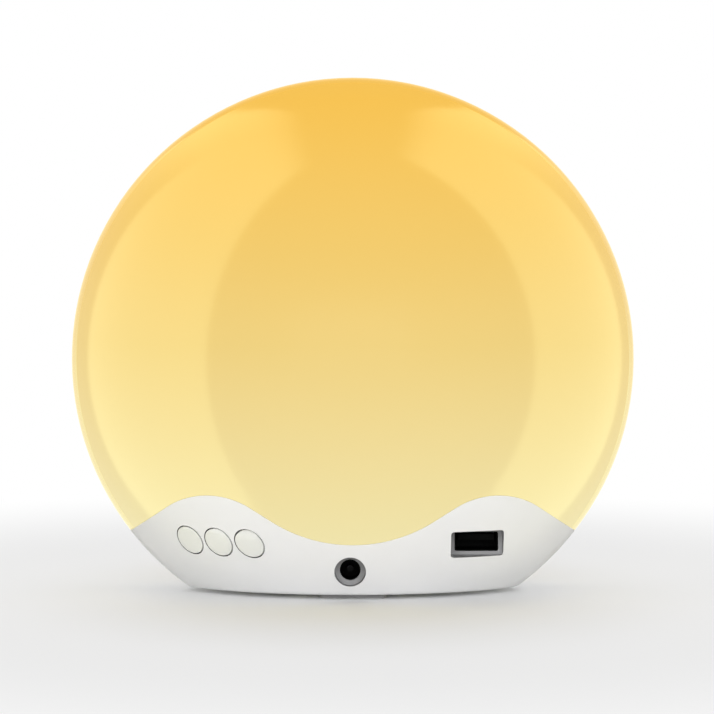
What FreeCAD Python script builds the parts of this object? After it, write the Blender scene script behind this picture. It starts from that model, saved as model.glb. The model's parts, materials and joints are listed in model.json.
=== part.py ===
import FreeCAD, Part
import math
import os
import re
import Sketcher

# Sunrise alarm clock: a round glowing shade on a white base with a wave-shaped top edge.
# Millimetres. +Z is up and the floor is Z = 0. The clock face looks to -Y, the sockets and
# the three keys look to +Y. The origin is the middle of the footprint box, on the floor.

# Driving sizes
SIZES = {
    # Outer form, turned about a level axis at centre_height
    "shade_radius": 87.5,
    "centre_height": 72.1,
    "rear_bulge": 6.8,
    "rim_round": 22.0,
    "front_radius": 293.0,
    "wall": 2.4,
    "skin": 1.2,
    "fit_gap": 0.15,
    "lap_turn": 9.0,
    "seam_turn": 0.4,
    "lap_depth": 3.2,
    "wave_gap": 0.12,
    # Wave where the shade meets the base
    "valley_height": 17.9,
    "crest_height": 32.6,
    "crest_offset": 43.0,
    "crest_radius": 23.0,
    "wave_slope": 32.5,
    "skirt_slope": 36.0,
    # Base floor and its bottom plate
    "foot_drop": 1.3,
    "floor_wall": 3.8,
    "base_round": 3.0,
    "plate_wall": 2.2,
    "plate_middle": -13.0,
    "plate_reach": 19.0,
    "plate_round": 18.0,
    "plate_gap": 0.25,
    "opening_reach": 14.0,
    "opening_round": 16.0,
    "over_cut": 1.0,
    "cut_margin": 10.0,
    # Reflecting deck between the electronics and the lamp room
    "deck_drop": 0.6,
    "deck_wall": 1.5,
    "post_radius": 2.6,
    "side_post_across": 47.0,
    "side_post_depth": -15.0,
    "rear_post_across": 17.0,
    "rear_post_depth": 7.0,
    "pad_margin": 0.5,
    # Screws
    "screw_radius": 1.2,
    "screw_head_radius": 2.2,
    "screw_head": 1.3,
    "screw_sink": 0.4,
    "plate_sink": 1.3,
    "head_rest": 0.05,
    "screw_end_gap": 0.6,
    "base_screw_lift": 0.25,
    "base_screw_length": 9.5,
    "plate_screw_length": 3.3,
    "door_screw_length": 1.7,
    "board_screw_length": 4.0,
    "frame_screw_length": 3.4,
    "plate_screw_across": 33.6,
    "door_screw_offset": 14.6,
    "board_screw_inset": 3.5,
    "board_post_radius": 2.4,
    "thread_gap": 0.05,
    "head_gap": 0.25,
    # Keys on the back
    "key_radius": 4.5,
    "key_gap": 0.35,
    "key_pitch": 10.7,
    "key_across": 40.7,
    "key_height": 17.75,
    "key_turn": 25.0,
    "key_tilt": 5.0,
    "key_proud": 0.15,
    "key_flange": 0.6,
    "key_flange_wall": 1.2,
    "key_flange_depth": 8.7,
    "key_post_across": 5.35,
    "key_post_down": 6.0,
    "key_post_radius": 1.6,
    "key_post_end": 5.4,
    "switch_width": 4.5,
    "switch_body": 2.2,
    "switch_floor": 0.3,
    "plunger_seat": 1.0,
    "plunger_radius": 1.1,
    "plunger_show": 1.0,
    "key_board_width": 27.0,
    "key_board_height": 10.4,
    "key_board_shift": 2.3,
    "board_wall": 1.6,
    "board_corner": 2.0,
    # Power inlet
    "inlet_across": 0.8,
    "inlet_height": 9.1,
    "inlet_recess_radius": 4.75,
    "inlet_hole_radius": 3.17,
    "inlet_face": 15.0,
    "inlet_barrel_radius": 3.7,
    "inlet_barrel_length": 12.0,
    "inlet_pin_radius": 1.0,
    "inlet_pin_length": 6.0,
    "inlet_back": 1.0,
    "socket_wall": 1.4,
    "socket_drop": 0.1,
    "bezel_wall": 1.6,
    # Charging socket
    "charge_across": 37.7,
    "charge_height": 17.3,
    "charge_recess_width": 16.2,
    "charge_recess_height": 8.3,
    "charge_corner": 0.9,
    "charge_face": 9.0,
    "charge_width": 13.2,
    "charge_tall": 5.8,
    "charge_sheet": 0.3,
    "charge_shell_corner": 0.6,
    "charge_length": 14.0,
    "charge_back": 2.0,
    "tongue_lift": 1.0,
    "tongue_width": 11.0,
    "tongue_wall": 1.8,
    "tongue_length": 8.5,
    "charge_board_side": 43.8,
    "charge_board_inner": 24.0,
    "charge_board_front": -20.0,
    "charge_board_rear": 3.5,
    # Speaker and back-up cell, both in the bottom plate
    "speaker_across": -14.6,
    "speaker_radius": 14.0,
    "speaker_height": 8.0,
    "speaker_rest": 0.1,
    "speaker_rim": 1.4,
    "speaker_sheet": 0.8,
    "speaker_rim_height": 3.6,
    "speaker_shoulder": 10.0,
    "speaker_neck": 7.0,
    "magnet_radius": 8.0,
    "cone_gap": 0.3,
    "cone_low": 0.8,
    "cone_high": 2.9,
    "cone_sheet": 0.5,
    "cap_radius": 3.0,
    "grille_pitch": 4.0,
    "grille_half_width": 0.8,
    "grille_reach": 10.0,
    "cell_across": 12.0,
    "cell_radius": 10.0,
    "cell_thick": 3.2,
    "cell_gap": 0.4,
    "cell_lift": 0.3,
    "cup_wall": 1.6,
    "cup_height": 4.6,
    "cup_roof": 1.2,
    "clip_gap": 0.05,
    "clip_sheet": 0.3,
    "clip_width": 6.0,
    "clip_length": 16.0,
    "door_wall": 1.2,
    "door_gap": 0.1,
    "door_radius": 11.6,
    "door_reach": 6.4,
    # Main board
    "board_lift": 5.1,
    "main_board_left": 3.0,
    "main_board_right": 43.0,
    "main_board_front": -28.0,
    "main_board_rear": -2.5,
    "chip_across": 22.0,
    "chip_depth": -17.0,
    "chip_width": 12.0,
    "chip_height": 1.8,
    "ribbon_socket_across": 9.0,
    "ribbon_socket_depth": -8.0,
    "ribbon_socket_width": 11.0,
    "ribbon_socket_deep": 3.0,
    "ribbon_socket_height": 3.2,
    "plug_across": 25.0,
    "plug_depth": -6.0,
    "plug_width": 9.0,
    "plug_deep": 4.0,
    "plug_height": 3.5,
    "capacitor_across": 34.0,
    "capacitor_depth": -16.0,
    "capacitor_spread": 4.0,
    "capacitor_radius": 3.1,
    "capacitor_height": 9.0,
    # Lamp and display
    "frame_wall": 2.0,
    "frame_face": -14.0,
    "frame_half_width": 24.0,
    "frame_top": 108.0,
    "frame_foot_wall": 2.0,
    "frame_foot_rise": 14.0,
    "frame_foot_half_width": 14.0,
    "frame_foot_front": 3.0,
    "frame_foot_back": 7.0,
    "frame_screw_across": 10.0,
    "frame_screw_back": 4.6,
    "lamp_radius": 33.0,
    "lamp_wall": 1.4,
    "lights_inner": 13.9,
    "lights_outer": 27.1,
    "light_width": 3.5,
    "light_tall": 2.8,
    "light_deep": 0.8,
    "ribbon_start": 4.0,
    "ribbon_width": 10.0,
    "ribbon_run": -5.3,
    "ribbon_sheet": 0.5,
    "ribbon_gap": 0.2,
    "ribbon_room": 1.0,
    "ribbon_bend_low": 6.0,
    "ribbon_bend_high": 33.4,
    "ribbon_end": 29.6,
    "display_half_width": 31.0,
    "display_half_height": 11.0,
    "display_deep": 7.5,
    "display_margin": 3.0,
    "display_post_across": 21.0,
    "display_post_up": 9.0,
    "hood_wall": 1.6,
    "hood_gap": 0.4,
    "hood_step": 0.6,
    "touch_pitch": 14.0,
    "touch_height": 10.5,
    "touch_half_width": 32.0,
    "touch_board_wall": 1.2,
    "touch_board_lift": 0.3,
    "touch_board_drop": 2.9,
    "touch_spring_radius": 2.2,
    "touch_spring_gap": 0.8,
    "touch_back": 2.6,
    # Feet
    "rear_foot_depth": 8.6,
    "rear_foot_width": 20.0,
    "rear_foot_deep": 4.8,
    "rear_foot_corner": 1.5,
    "front_foot_across": 14.0,
    "front_foot_depth": -33.1,
    "front_foot_width": 12.0,
    "front_foot_deep": 3.0,
    "front_foot_corner": 1.2,
}

# Sizes that follow from the driving ones
FORMULAS = {
    "rear_radius": "shade_radius + rear_bulge",
    "rim_centre": "shade_radius - rim_round",
    "rear_turn": "asin(rim_centre / (rear_radius - rim_round)) / 1 deg",
    "front_turn": "asin(rim_centre / (front_radius - rim_round)) / 1 deg",
    "rear_reach": "rear_radius - (rear_radius - rim_round) * cos(rear_turn)",
    "front_reach": "front_radius - (front_radius - rim_round) * cos(front_turn)",
    "rim_depth": "(front_reach - rear_reach) / 2",
    "rear_depth": "rim_depth - (rear_radius - rim_round) * cos(rear_turn)",
    "front_depth": "rim_depth + (front_radius - rim_round) * cos(front_turn)",
    "wave_rise": "crest_height - valley_height",
    "wave_arcs": "(crest_offset * sin(wave_slope) - wave_rise * cos(wave_slope)) / (1 - cos(wave_slope))",
    "valley_radius": "wave_arcs - crest_radius",
    "valley_edge": "valley_radius * sin(wave_slope)",
    "valley_edge_height": "valley_height + valley_radius * (1 - cos(wave_slope))",
    "crest_inner": "crest_offset - crest_radius * sin(wave_slope)",
    "crest_inner_height": "crest_height - crest_radius * (1 - cos(wave_slope))",
    "crest_outer": "crest_offset + crest_radius * sin(skirt_slope)",
    "crest_outer_height": "crest_height - crest_radius * (1 - cos(skirt_slope))",
    "skirt_reach": "shade_radius + cut_margin",
    "skirt_height": "crest_outer_height - (skirt_reach - crest_outer) * tan(skirt_slope)",
    "floor_top": "foot_drop + floor_wall",
    "plate_top": "foot_drop + plate_wall",
    "switch_top": "key_flange_depth + key_flange_wall + plunger_show",
    "switch_foot": "switch_top + switch_body",
    "key_seat": "rear_depth + sqrt(rear_radius ^ 2 - key_across ^ 2 - (centre_height - key_height) ^ 2)",
    "board_level": "plate_top + board_lift",
    "charge_board_top": "charge_height - charge_tall / 2 - socket_drop",
    "deck_pad_top": "valley_height + 1.6",
    "hood_face": "front_depth - sqrt((front_radius - wall) ^ 2 - (display_half_width + hood_wall) ^ 2"
                 " - (display_half_height + hood_wall) ^ 2) + hood_gap",
    "display_back": "hood_face + display_deep + hood_step",
    "touch_face": "rim_depth - (rim_round - wall) + touch_back",
}

# Two lengths closer than this are the same
SAME = 1e-3

doc = FreeCAD.newDocument("SunriseClock")


def full(text):
    """Puts the sheet's name before every alias in an expression."""
    def prefix(match):
        word = match.group(0)
        if word in SIZES:
            return "Sizes." + word
        if word in FORMULAS:
            return "Worked." + word
        return word
    return re.sub(r"[a-z_]+", prefix, str(text))


def make_sheet(name, cells):
    """A sheet with one named cell a row."""
    sheet = doc.addObject("Spreadsheet::Sheet", name)
    for row, (alias, text) in enumerate(cells.items(), 1):
        sheet.set("A%d" % row, alias)
        sheet.setAlias("B%d" % row, alias)
        sheet.set("B%d" % row, text)
    doc.recompute()
    return sheet


sizes = make_sheet("Sizes", {alias: str(number) for alias, number in SIZES.items()})
worked = make_sheet("Worked", {alias: "=" + full(text) for alias, text in FORMULAS.items()})


def value(text):
    """The number that an expression stands for."""
    result = sizes.evalExpression(full(text))
    return float(getattr(result, "Value", result))


def tie(sketch, kind, references, text):
    """Adds a dimension to a sketch and binds it to the sheet."""
    number = sketch.addConstraint(Sketcher.Constraint(kind, *references, value(text)))
    sketch.setExpression("Constraints[%d]" % number, full(text))


def pin_point(sketch, element, end, across, up):
    """Places a point of the sketch at two bound distances from the sketch's origin."""
    tie(sketch, "DistanceX", (-1, 1, element, end), across)
    tie(sketch, "DistanceY", (-1, 1, element, end), up)


def vector(across, up):
    return FreeCAD.Vector(value(across), value(up), 0)


def circle(sketch, across, up, radius):
    """A full circle."""
    shape = Part.Circle(vector(across, up), FreeCAD.Vector(0, 0, 1), value(radius))
    element = sketch.addGeometry(shape, False)
    pin_point(sketch, element, 3, across, up)
    tie(sketch, "Radius", (element,), radius)


def arc_between(start, end, radius, left):
    """The short arc from one point to another, with its centre on the left or right of the way."""
    chord = end - start
    reach = math.sqrt(max(radius ** 2 - (chord.Length / 2) ** 2, 0))
    side = FreeCAD.Vector(-chord.y, chord.x, 0).normalize()
    centre = (start + end) * 0.5 + side * (reach if left else -reach)
    first, last = (start, end) if left else (end, start)
    start_angle = math.atan2(first.y - centre.y, first.x - centre.x)
    end_angle = math.atan2(last.y - centre.y, last.x - centre.x)
    if end_angle < start_angle:
        end_angle += 2 * math.pi
    round_shape = Part.Circle(centre, FreeCAD.Vector(0, 0, 1), radius)
    return Part.ArcOfCircle(round_shape, start_angle, end_angle)


def outline(sketch, steps):
    """A closed outline. Each step is a point, and may add the radius of the arc that leads on
    from it and the side its centre is on, left or right of the way along."""
    elements = []
    for number, step in enumerate(steps):
        following = steps[(number + 1) % len(steps)]
        start = vector(step[0], step[1])
        end = vector(following[0], following[1])
        if len(step) == 2:
            element = sketch.addGeometry(Part.LineSegment(start, end), False)
            elements.append((element, 1, 2))
        else:
            left = step[3] == "left"
            shape = arc_between(start, end, value(step[2]), left)
            element = sketch.addGeometry(shape, False)
            tie(sketch, "Radius", (element,), step[2])
            elements.append((element, 1, 2) if left else (element, 2, 1))
    for number, (element, first, last) in enumerate(elements):
        pin_point(sketch, element, first, steps[number][0], steps[number][1])
        after, after_first, after_last = elements[(number + 1) % len(elements)]
        sketch.addConstraint(Sketcher.Constraint("Coincident", element, last, after, after_first))


def rectangle(sketch, left, low, right, high):
    """A rectangle between two corners."""
    outline(sketch, [(left, low), (right, low), (right, high), (left, high)])


def middle_rectangle(sketch, across, up, width, height):
    """A rectangle about its middle."""
    rectangle(sketch, f"{across} - ({width}) / 2", f"{up} - ({height}) / 2",
              f"{across} + ({width}) / 2", f"{up} + ({height}) / 2")


def rounded_rectangle(sketch, across, up, width, height, corner):
    """A rectangle about its middle with round corners."""
    left, right = f"{across} - ({width}) / 2", f"{across} + ({width}) / 2"
    low, high = f"{up} - ({height}) / 2", f"{up} + ({height}) / 2"
    outline(sketch, [
        (f"{left} + {corner}", low), (f"{right} - ({corner})", low, corner, "left"),
        (right, f"{low} + {corner}"), (right, f"{high} - ({corner})", corner, "left"),
        (f"{right} - ({corner})", high), (f"{left} + {corner}", high, corner, "left"),
        (left, f"{high} - ({corner})"), (left, f"{low} + {corner}", corner, "left"),
    ])


def slot(sketch, left, right, up, radius):
    """A level slot, given by the middles of its two round ends."""
    outline(sketch, [
        (left, f"{up} - ({radius})"),
        (right, f"{up} - ({radius})", radius, "left"), (f"{right} + {radius}", up, radius, "left"),
        (right, f"{up} + {radius}"),
        (left, f"{up} + {radius}", radius, "left"), (f"{left} - ({radius})", up, radius, "left"),
    ])


def new_body(label):
    body = doc.addObject("PartDesign::Body", label)
    body.Label = label
    return body


def new_sketch(body, role, across="0", up="0", out="0"):
    """A sketch on one of the body's origin planes, moved by three bound distances."""
    plane = [item for item in body.Origin.OriginFeatures if item.Role == role][0]
    sketch = body.newObject("Sketcher::SketchObject", body.Label + "_sketch")
    sketch.AttachmentSupport = [(plane, "")]
    sketch.MapMode = "FlatFace"
    sketch.setExpression("AttachmentOffset.Base.x", full(across))
    sketch.setExpression("AttachmentOffset.Base.y", full(up))
    sketch.setExpression("AttachmentOffset.Base.z", full(out))
    return sketch


def add_pad(body, sketch, length, reverse=False):
    pad = body.newObject("PartDesign::Pad", body.Label + "_pad")
    pad.Profile = sketch
    pad.setExpression("Length", full(length))
    pad.Reversed = reverse
    return pad


def add_pocket(body, sketch, length=None, reverse=False):
    """Cuts a sketch into the body: to a length, or right through both ways."""
    pocket = body.newObject("PartDesign::Pocket", body.Label + "_pocket")
    pocket.Profile = sketch
    if length is None:
        pocket.Type = 1
        pocket.Midplane = True
    else:
        pocket.setExpression("Length", full(length))
        pocket.Reversed = reverse
    return pocket


def add_turn(body, sketch, axis):
    turned = body.newObject("PartDesign::Revolution", body.Label + "_turned")
    turned.Profile = sketch
    turned.ReferenceAxis = (sketch, [axis])
    turned.Angle = 360
    return turned


# Upright extrusions: sketch in plan, from one height up
def raise_up(body, low, length, draw):
    sketch = new_sketch(body, "XY_Plane", out=low)
    draw(sketch)
    add_pad(body, sketch, length)


def cut_through_plan(body, draw):
    sketch = new_sketch(body, "XY_Plane")
    draw(sketch)
    add_pocket(body, sketch)


# Level extrusions: sketch in the front view, from one depth towards +Y
def push_back(body, front, length, draw):
    sketch = new_sketch(body, "XZ_Plane", out=f"-({front})")
    draw(sketch)
    add_pad(body, sketch, length, True)


def cut_through_view(body, draw):
    sketch = new_sketch(body, "XZ_Plane")
    draw(sketch)
    add_pocket(body, sketch)


# Points of the outer form, offset inwards by a depth
def rear_point(turn, depth):
    return (f"rear_depth + (rear_radius - ({depth})) * cos({turn})",
            f"(rear_radius - ({depth})) * sin({turn})")


def rim_point(turn, depth):
    return (f"rim_depth + (rim_round - ({depth})) * cos({turn})",
            f"rim_centre + (rim_round - ({depth})) * sin({turn})")


def front_point(turn, depth):
    return (f"front_depth - (front_radius - ({depth})) * cos({turn})",
            f"(front_radius - ({depth})) * sin({turn})")


def turned_form(body, draw):
    """Revolves a profile about the level axis of the shade."""
    sketch = new_sketch(body, "YZ_Plane", up="centre_height")
    draw(sketch)
    add_turn(body, sketch, "H_Axis")


def upright_turned(body, across, depth, draw):
    """Revolves a profile about an upright axis."""
    sketch = new_sketch(body, "XZ_Plane", across=across, out=f"-({depth})")
    draw(sketch)
    add_turn(body, sketch, "V_Axis")


def whole_solid(depth):
    """Profile of the full form, filled to the axis."""
    def draw(sketch):
        outline(sketch, [
            rear_point("0", depth) + (f"rear_radius - ({depth})", "left"),
            rear_point("rear_turn", depth) + (f"rim_round - ({depth})", "left"),
            front_point("front_turn", depth) + (f"front_radius - ({depth})", "left"),
            front_point("0", depth),
        ])
    return draw


def rear_skin(outer, inner, lap):
    """Rear part of a skin, carried round the rim by a lap angle."""
    def draw(sketch):
        steps = [rear_point("0", outer) + (f"rear_radius - ({outer})", "left")]
        if lap is None:
            steps += [rear_point("rear_turn", outer), rear_point("rear_turn", inner)]
            steps[-1] += (f"rear_radius - ({inner})", "right")
        else:
            steps += [
                rear_point("rear_turn", outer) + (f"rim_round - ({outer})", "left"),
                rim_point(f"rear_turn + {lap}", outer),
                rim_point(f"rear_turn + {lap}", inner) + (f"rim_round - ({inner})", "right"),
                rear_point("rear_turn", inner) + (f"rear_radius - ({inner})", "right"),
            ]
        steps.append(rear_point("0", inner))
        outline(sketch, steps)
    return draw


def front_skin(outer, inner, start):
    """Front part of a skin, from an angle past the seam."""
    def draw(sketch):
        outline(sketch, [
            rim_point(f"rear_turn + {start}", outer) + (f"rim_round - ({outer})", "left"),
            front_point("front_turn", outer) + (f"front_radius - ({outer})", "left"),
            front_point("0", outer),
            front_point("0", inner) + (f"front_radius - ({inner})", "right"),
            front_point("front_turn", inner) + (f"rim_round - ({inner})", "right"),
            rim_point(f"rear_turn + {start}", inner),
        ])
    return draw


def wave_steps(drop):
    """The wave from left to right, lowered by a drop."""
    low = f"- ({drop})"
    return [
        ("-skirt_reach", f"skirt_height {low}"),
        ("-crest_outer", f"crest_outer_height {low}", "crest_radius", "right"),
        ("-crest_offset", f"crest_height {low}", "crest_radius", "right"),
        ("-crest_inner", f"crest_inner_height {low}"),
        ("-valley_edge", f"valley_edge_height {low}", "valley_radius", "left"),
        ("valley_edge", f"valley_edge_height {low}"),
        ("crest_inner", f"crest_inner_height {low}", "crest_radius", "right"),
        ("crest_offset", f"crest_height {low}", "crest_radius", "right"),
        ("crest_outer", f"crest_outer_height {low}"),
        ("skirt_reach", f"skirt_height {low}"),
    ]


def below_wave(drop):
    def draw(sketch):
        floor = [("skirt_reach", "-shade_radius"), ("-skirt_reach", "-shade_radius")]
        outline(sketch, wave_steps(drop) + floor)
    return draw


def above_wave(drop):
    def draw(sketch):
        top = "centre_height + skirt_reach"
        outline(sketch, wave_steps(drop) + [("skirt_reach", top), ("-skirt_reach", top)])
    return draw


def below_level(height):
    def draw(sketch):
        rectangle(sketch, "-skirt_reach", "-shade_radius", "skirt_reach", height)
    return draw


# Places in plan of the boards' screws and of the screws of the frame, plate and door
MAIN_POSTS = [
    ("main_board_right - board_screw_inset", "main_board_front + board_screw_inset"),
    ("main_board_right - board_screw_inset", "main_board_rear - board_screw_inset"),
]
CHARGE_POSTS = [
    ("-(charge_board_side - board_screw_inset)", "charge_board_front + board_screw_inset"),
    ("-(charge_board_inner + board_screw_inset)", "charge_board_rear - board_screw_inset"),
]
FRAME_SCREWS = [(f"{side}frame_screw_across", "frame_face + frame_screw_back") for side in ("", "-")]
PLATE_SCREWS = [(f"{side}plate_screw_across", "plate_middle") for side in ("", "-")]
DOOR_SCREW = [("cell_across + door_screw_offset", "plate_middle")]
KEY_NUMBERS = (1, 2, 3)
MIDDLE_KEY = 2
GRILLE_SLOTS = (-2, -1, 0, 1, 2)
TOUCH_KEYS = (-2, -1, 0, 1, 2)
LIGHT_RINGS = ((6, "lights_inner"), (12, "lights_outer"))


def at_places(places, radius):
    """Circles of one size at several places."""
    def draw(sketch):
        for across, depth in places:
            circle(sketch, across, depth, radius)
    return draw


def mirrored_posts(radius):
    """The four places where the deck stands on the floor."""
    def draw(sketch):
        for side in ("", "-"):
            circle(sketch, f"{side}side_post_across", "side_post_depth", radius)
            circle(sketch, f"{side}rear_post_across", "rear_post_depth", radius)
    return draw


# Rear half of the shade, with the tongue that laps into the front half and into the base
def make_rear_shade():
    body = new_body("rear_shade")
    turned_form(body, rear_skin("0", "skin + fit_gap", None))
    cut_through_view(body, below_wave("0"))
    turned_form(body, rear_skin("skin", "wall", "lap_turn"))
    cut_through_view(body, below_wave("lap_depth"))
    return body


# Front half of the shade, with the rebate for the rear half's tongue
def make_front_shade():
    body = new_body("front_shade")
    turned_form(body, front_skin("0", "skin - fit_gap", "seam_turn"))
    turned_form(body, front_skin("skin - 2 * fit_gap", "wall", "lap_turn + seam_turn"))
    cut_through_view(body, below_wave("0"))
    turned_form(body, front_skin("skin", "wall", "lap_turn + seam_turn"))
    cut_through_view(body, below_wave("lap_depth"))
    return body


# Outside of the base, up to the wave and with a round bottom edge
def make_base_outer():
    body = new_body("base_outer")
    turned_form(body, whole_solid("0"))
    cut_through_view(body, below_level("foot_drop"))
    cut_through_view(body, above_wave("wave_gap"))
    doc.recompute()
    level = value("foot_drop")
    squared = body.Tip
    names = []
    for number, edge in enumerate(squared.Shape.Edges, 1):
        box = edge.BoundBox
        if max(abs(box.ZMin - level), abs(box.ZMax - level)) < SAME:
            names.append("Edge%d" % number)
    fillet = body.newObject("PartDesign::Fillet", "base_outer_round")
    fillet.Base = (squared, names)
    fillet.setExpression("Radius", full("base_round"))
    return body


# The inner half of the wall is left out above this, where the shade's tongue laps in
def make_lap_room():
    body = new_body("lap_room")
    turned_form(body, whole_solid("skin - fit_gap"))
    cut_through_view(body, below_wave("lap_depth + fit_gap"))
    return body


def make_base_cavity():
    body = new_body("base_cavity")
    turned_form(body, whole_solid("wall"))
    cut_through_view(body, below_level("floor_top"))
    return body


# Everything that is cut from the base wall and floor
def make_base_cuts():
    keys = [make_key_tool(number, "key_radius + key_gap") for number in KEY_NUMBERS]
    body = new_body("base_openings")
    low = "foot_drop - over_cut"
    raise_up(body, low, "plate_wall + plate_gap / 2 + over_cut", lambda sketch: slot(
        sketch, "-plate_reach", "plate_reach", "plate_middle", "plate_round"))
    raise_up(body, "foot_drop", "floor_wall + over_cut", lambda sketch: slot(
        sketch, "-opening_reach", "opening_reach", "plate_middle", "opening_round"))
    raise_up(body, low, "floor_wall + 2 * over_cut", mirrored_posts("screw_radius + thread_gap"))
    raise_up(body, low, "over_cut + screw_head + screw_sink", mirrored_posts("screw_head_radius + head_gap"))
    raise_up(body, "foot_drop", "floor_wall + over_cut", at_places(PLATE_SCREWS, "screw_radius + thread_gap"))
    return keys + [body]


def make_socket_cuts():
    body = new_body("socket_openings")
    push_back(body, "charge_face - bezel_wall", "shade_radius", lambda sketch: rounded_rectangle(
        sketch, "-charge_across", "charge_height", "charge_recess_width", "charge_recess_height",
        "charge_corner"))
    push_back(body, "inlet_face - bezel_wall", "shade_radius", lambda sketch: circle(
        sketch, "inlet_across", "inlet_height", "inlet_recess_radius"))
    through = "bezel_wall + socket_wall + 2 * over_cut"
    push_back(body, f"charge_face + over_cut - ({through})", through, lambda sketch: middle_rectangle(
        sketch, "-charge_across", "charge_height", "charge_width + 2 * fit_gap", "charge_tall + 2 * fit_gap"))
    push_back(body, f"inlet_face + over_cut - ({through})", through, lambda sketch: circle(
        sketch, "inlet_across", "inlet_height", "inlet_barrel_radius + fit_gap"))
    return body


def key_place():
    """Placement expression of the frame on the rear surface that the keys are drawn in."""
    return full("placement(vector(key_across; key_seat; key_height); "
                "rotation(-key_turn; 0; -(90 + key_tilt)))")


def key_offset(number):
    """How far a key stands from the middle one."""
    return f"key_pitch * {MIDDLE_KEY - number}"


def make_key_tool(number, radius):
    """A cylinder along one key's line of travel."""
    tool = new_body("key_hole_%d" % number)
    raise_up(tool, "-(key_flange_depth)", "key_flange_depth + cut_margin", lambda sketch: circle(
        sketch, key_offset(number), "0", radius))
    tool.setExpression("Placement", key_place())
    return tool


# Walls that stand inward round the two sockets, and the posts that carry the boards
def make_base_bosses():
    walls = new_body("socket_walls")
    push_back(walls, "charge_face - bezel_wall - socket_wall", "shade_radius",
              lambda sketch: rounded_rectangle(
                  sketch, "-charge_across", "charge_height", "charge_recess_width + 2 * socket_wall",
                  "charge_recess_height + 2 * socket_wall", "charge_corner + socket_wall"))
    push_back(walls, "inlet_face - bezel_wall - socket_wall", "shade_radius", lambda sketch: circle(
        sketch, "inlet_across", "inlet_height", "inlet_recess_radius + socket_wall"))
    posts = new_body("board_posts")
    for top, places in (("board_level", MAIN_POSTS), ("charge_board_top - board_wall", CHARGE_POSTS)):
        raise_up(posts, "floor_top - over_cut", f"{top} - floor_top + over_cut",
                 at_places(places, "board_post_radius"))
        holes = new_sketch(posts, "XY_Plane", out=top)
        at_places(places, "screw_radius + thread_gap")(holes)
        add_pocket(posts, holes, "board_screw_length - board_wall + screw_end_gap")
    return [walls, posts]


def make_key_posts():
    posts = new_body("key_posts")
    raise_up(posts, "-switch_foot", "switch_foot - key_post_end", lambda sketch: [
        circle(sketch, f"{side}key_post_across", "key_post_down", "key_post_radius") for side in ("", "-")])
    posts.setExpression("Placement", key_place())
    return posts


def boolean(kind, label, base, tool):
    """A Part boolean of two objects, or of several for a fuse."""
    result = doc.addObject(kind, label)
    result.Label = label
    if kind == "Part::MultiFuse":
        result.Shapes = [base] + tool
    else:
        result.Base = base
        result.Tool = tool
    result.Refine = False
    return result


def boss_limit():
    """The outer form a little inside its surface, which trims the bosses."""
    body = new_body("boss_limit")
    turned_form(body, whole_solid("skin"))
    cut_through_view(body, above_wave("lap_depth + fit_gap"))
    return body


# The base moulding
def make_base_housing():
    outer = make_base_outer()
    room = boolean("Part::MultiFuse", "base_room", make_base_cavity(), [make_lap_room()])
    shell = boolean("Part::Cut", "base_shell", outer, room)
    walls, posts = make_base_bosses()
    bosses = boolean("Part::MultiFuse", "base_boss_set", walls, [make_key_posts()])
    inside = boolean("Part::Common", "base_bosses_inside", bosses, boss_limit())
    joined = boolean("Part::MultiFuse", "base_joined", shell, [inside, posts])
    cuts = boolean("Part::MultiFuse", "base_cut_set", make_socket_cuts(), make_base_cuts())
    return boolean("Part::Cut", "base_housing", joined, cuts)


def sink_heads(body, places, depth):
    """Counterbores in the underside for screw heads."""
    sinks = new_sketch(body, "XY_Plane", out="foot_drop")
    at_places(places, "screw_head_radius + head_gap")(sinks)
    add_pocket(body, sinks, f"{depth} + head_rest", True)


# Bottom plate with the speaker grille and the cell's cup
def make_bottom_plate():
    body = new_body("bottom_plate")
    raise_up(body, "foot_drop", "plate_wall", lambda sketch: slot(
        sketch, "-plate_reach", "plate_reach", "plate_middle", "plate_round - plate_gap"))
    raise_up(body, "foot_drop", "plate_wall + cup_height", lambda sketch: circle(
        sketch, "cell_across", "plate_middle", "cell_radius + cell_gap + cup_wall"))
    sketch = new_sketch(body, "XY_Plane", out="foot_drop")
    slot(sketch, "cell_across", "cell_across + door_reach", "plate_middle", "door_radius + plate_gap")
    add_pocket(body, sketch, "door_wall + door_gap", True)
    sketch = new_sketch(body, "XY_Plane", out="foot_drop")
    circle(sketch, "cell_across", "plate_middle", "cell_radius + cell_gap")
    add_pocket(body, sketch, "plate_wall + cup_height - cup_roof", True)
    cut_through_plan(body, at_places(PLATE_SCREWS + DOOR_SCREW, "screw_radius + thread_gap"))
    sink_heads(body, PLATE_SCREWS, "plate_sink")
    cut_through_plan(body, draw_grille)
    return body


def draw_grille(sketch):
    """Slots whose ends lie on a circle under the speaker."""
    for row in GRILLE_SLOTS:
        reach = f"sqrt(grille_reach ^ 2 - (grille_pitch * {row}) ^ 2)"
        slot(sketch, f"speaker_across - {reach}", f"speaker_across + {reach}",
             f"plate_middle + grille_pitch * {row}", "grille_half_width")


def make_battery_door():
    body = new_body("battery_door")
    raise_up(body, "foot_drop", "door_wall", lambda sketch: slot(
        sketch, "cell_across", "cell_across + door_reach", "plate_middle", "door_radius"))
    cut_through_plan(body, at_places(DOOR_SCREW, "screw_radius + thread_gap"))
    sink_heads(body, DOOR_SCREW, "screw_sink")
    return body


def make_coin_cell():
    body = new_body("coin_cell")
    raise_up(body, "foot_drop + door_wall + cell_lift", "cell_thick", lambda sketch: circle(
        sketch, "cell_across", "plate_middle", "cell_radius"))
    return body


def make_cell_clip():
    body = new_body("cell_clip")
    raise_up(body, "foot_drop + door_wall + cell_lift + cell_thick + clip_gap", "clip_sheet",
             lambda sketch: middle_rectangle(
                 sketch, "cell_across", "plate_middle", "clip_width", "clip_length"))
    return body


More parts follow.
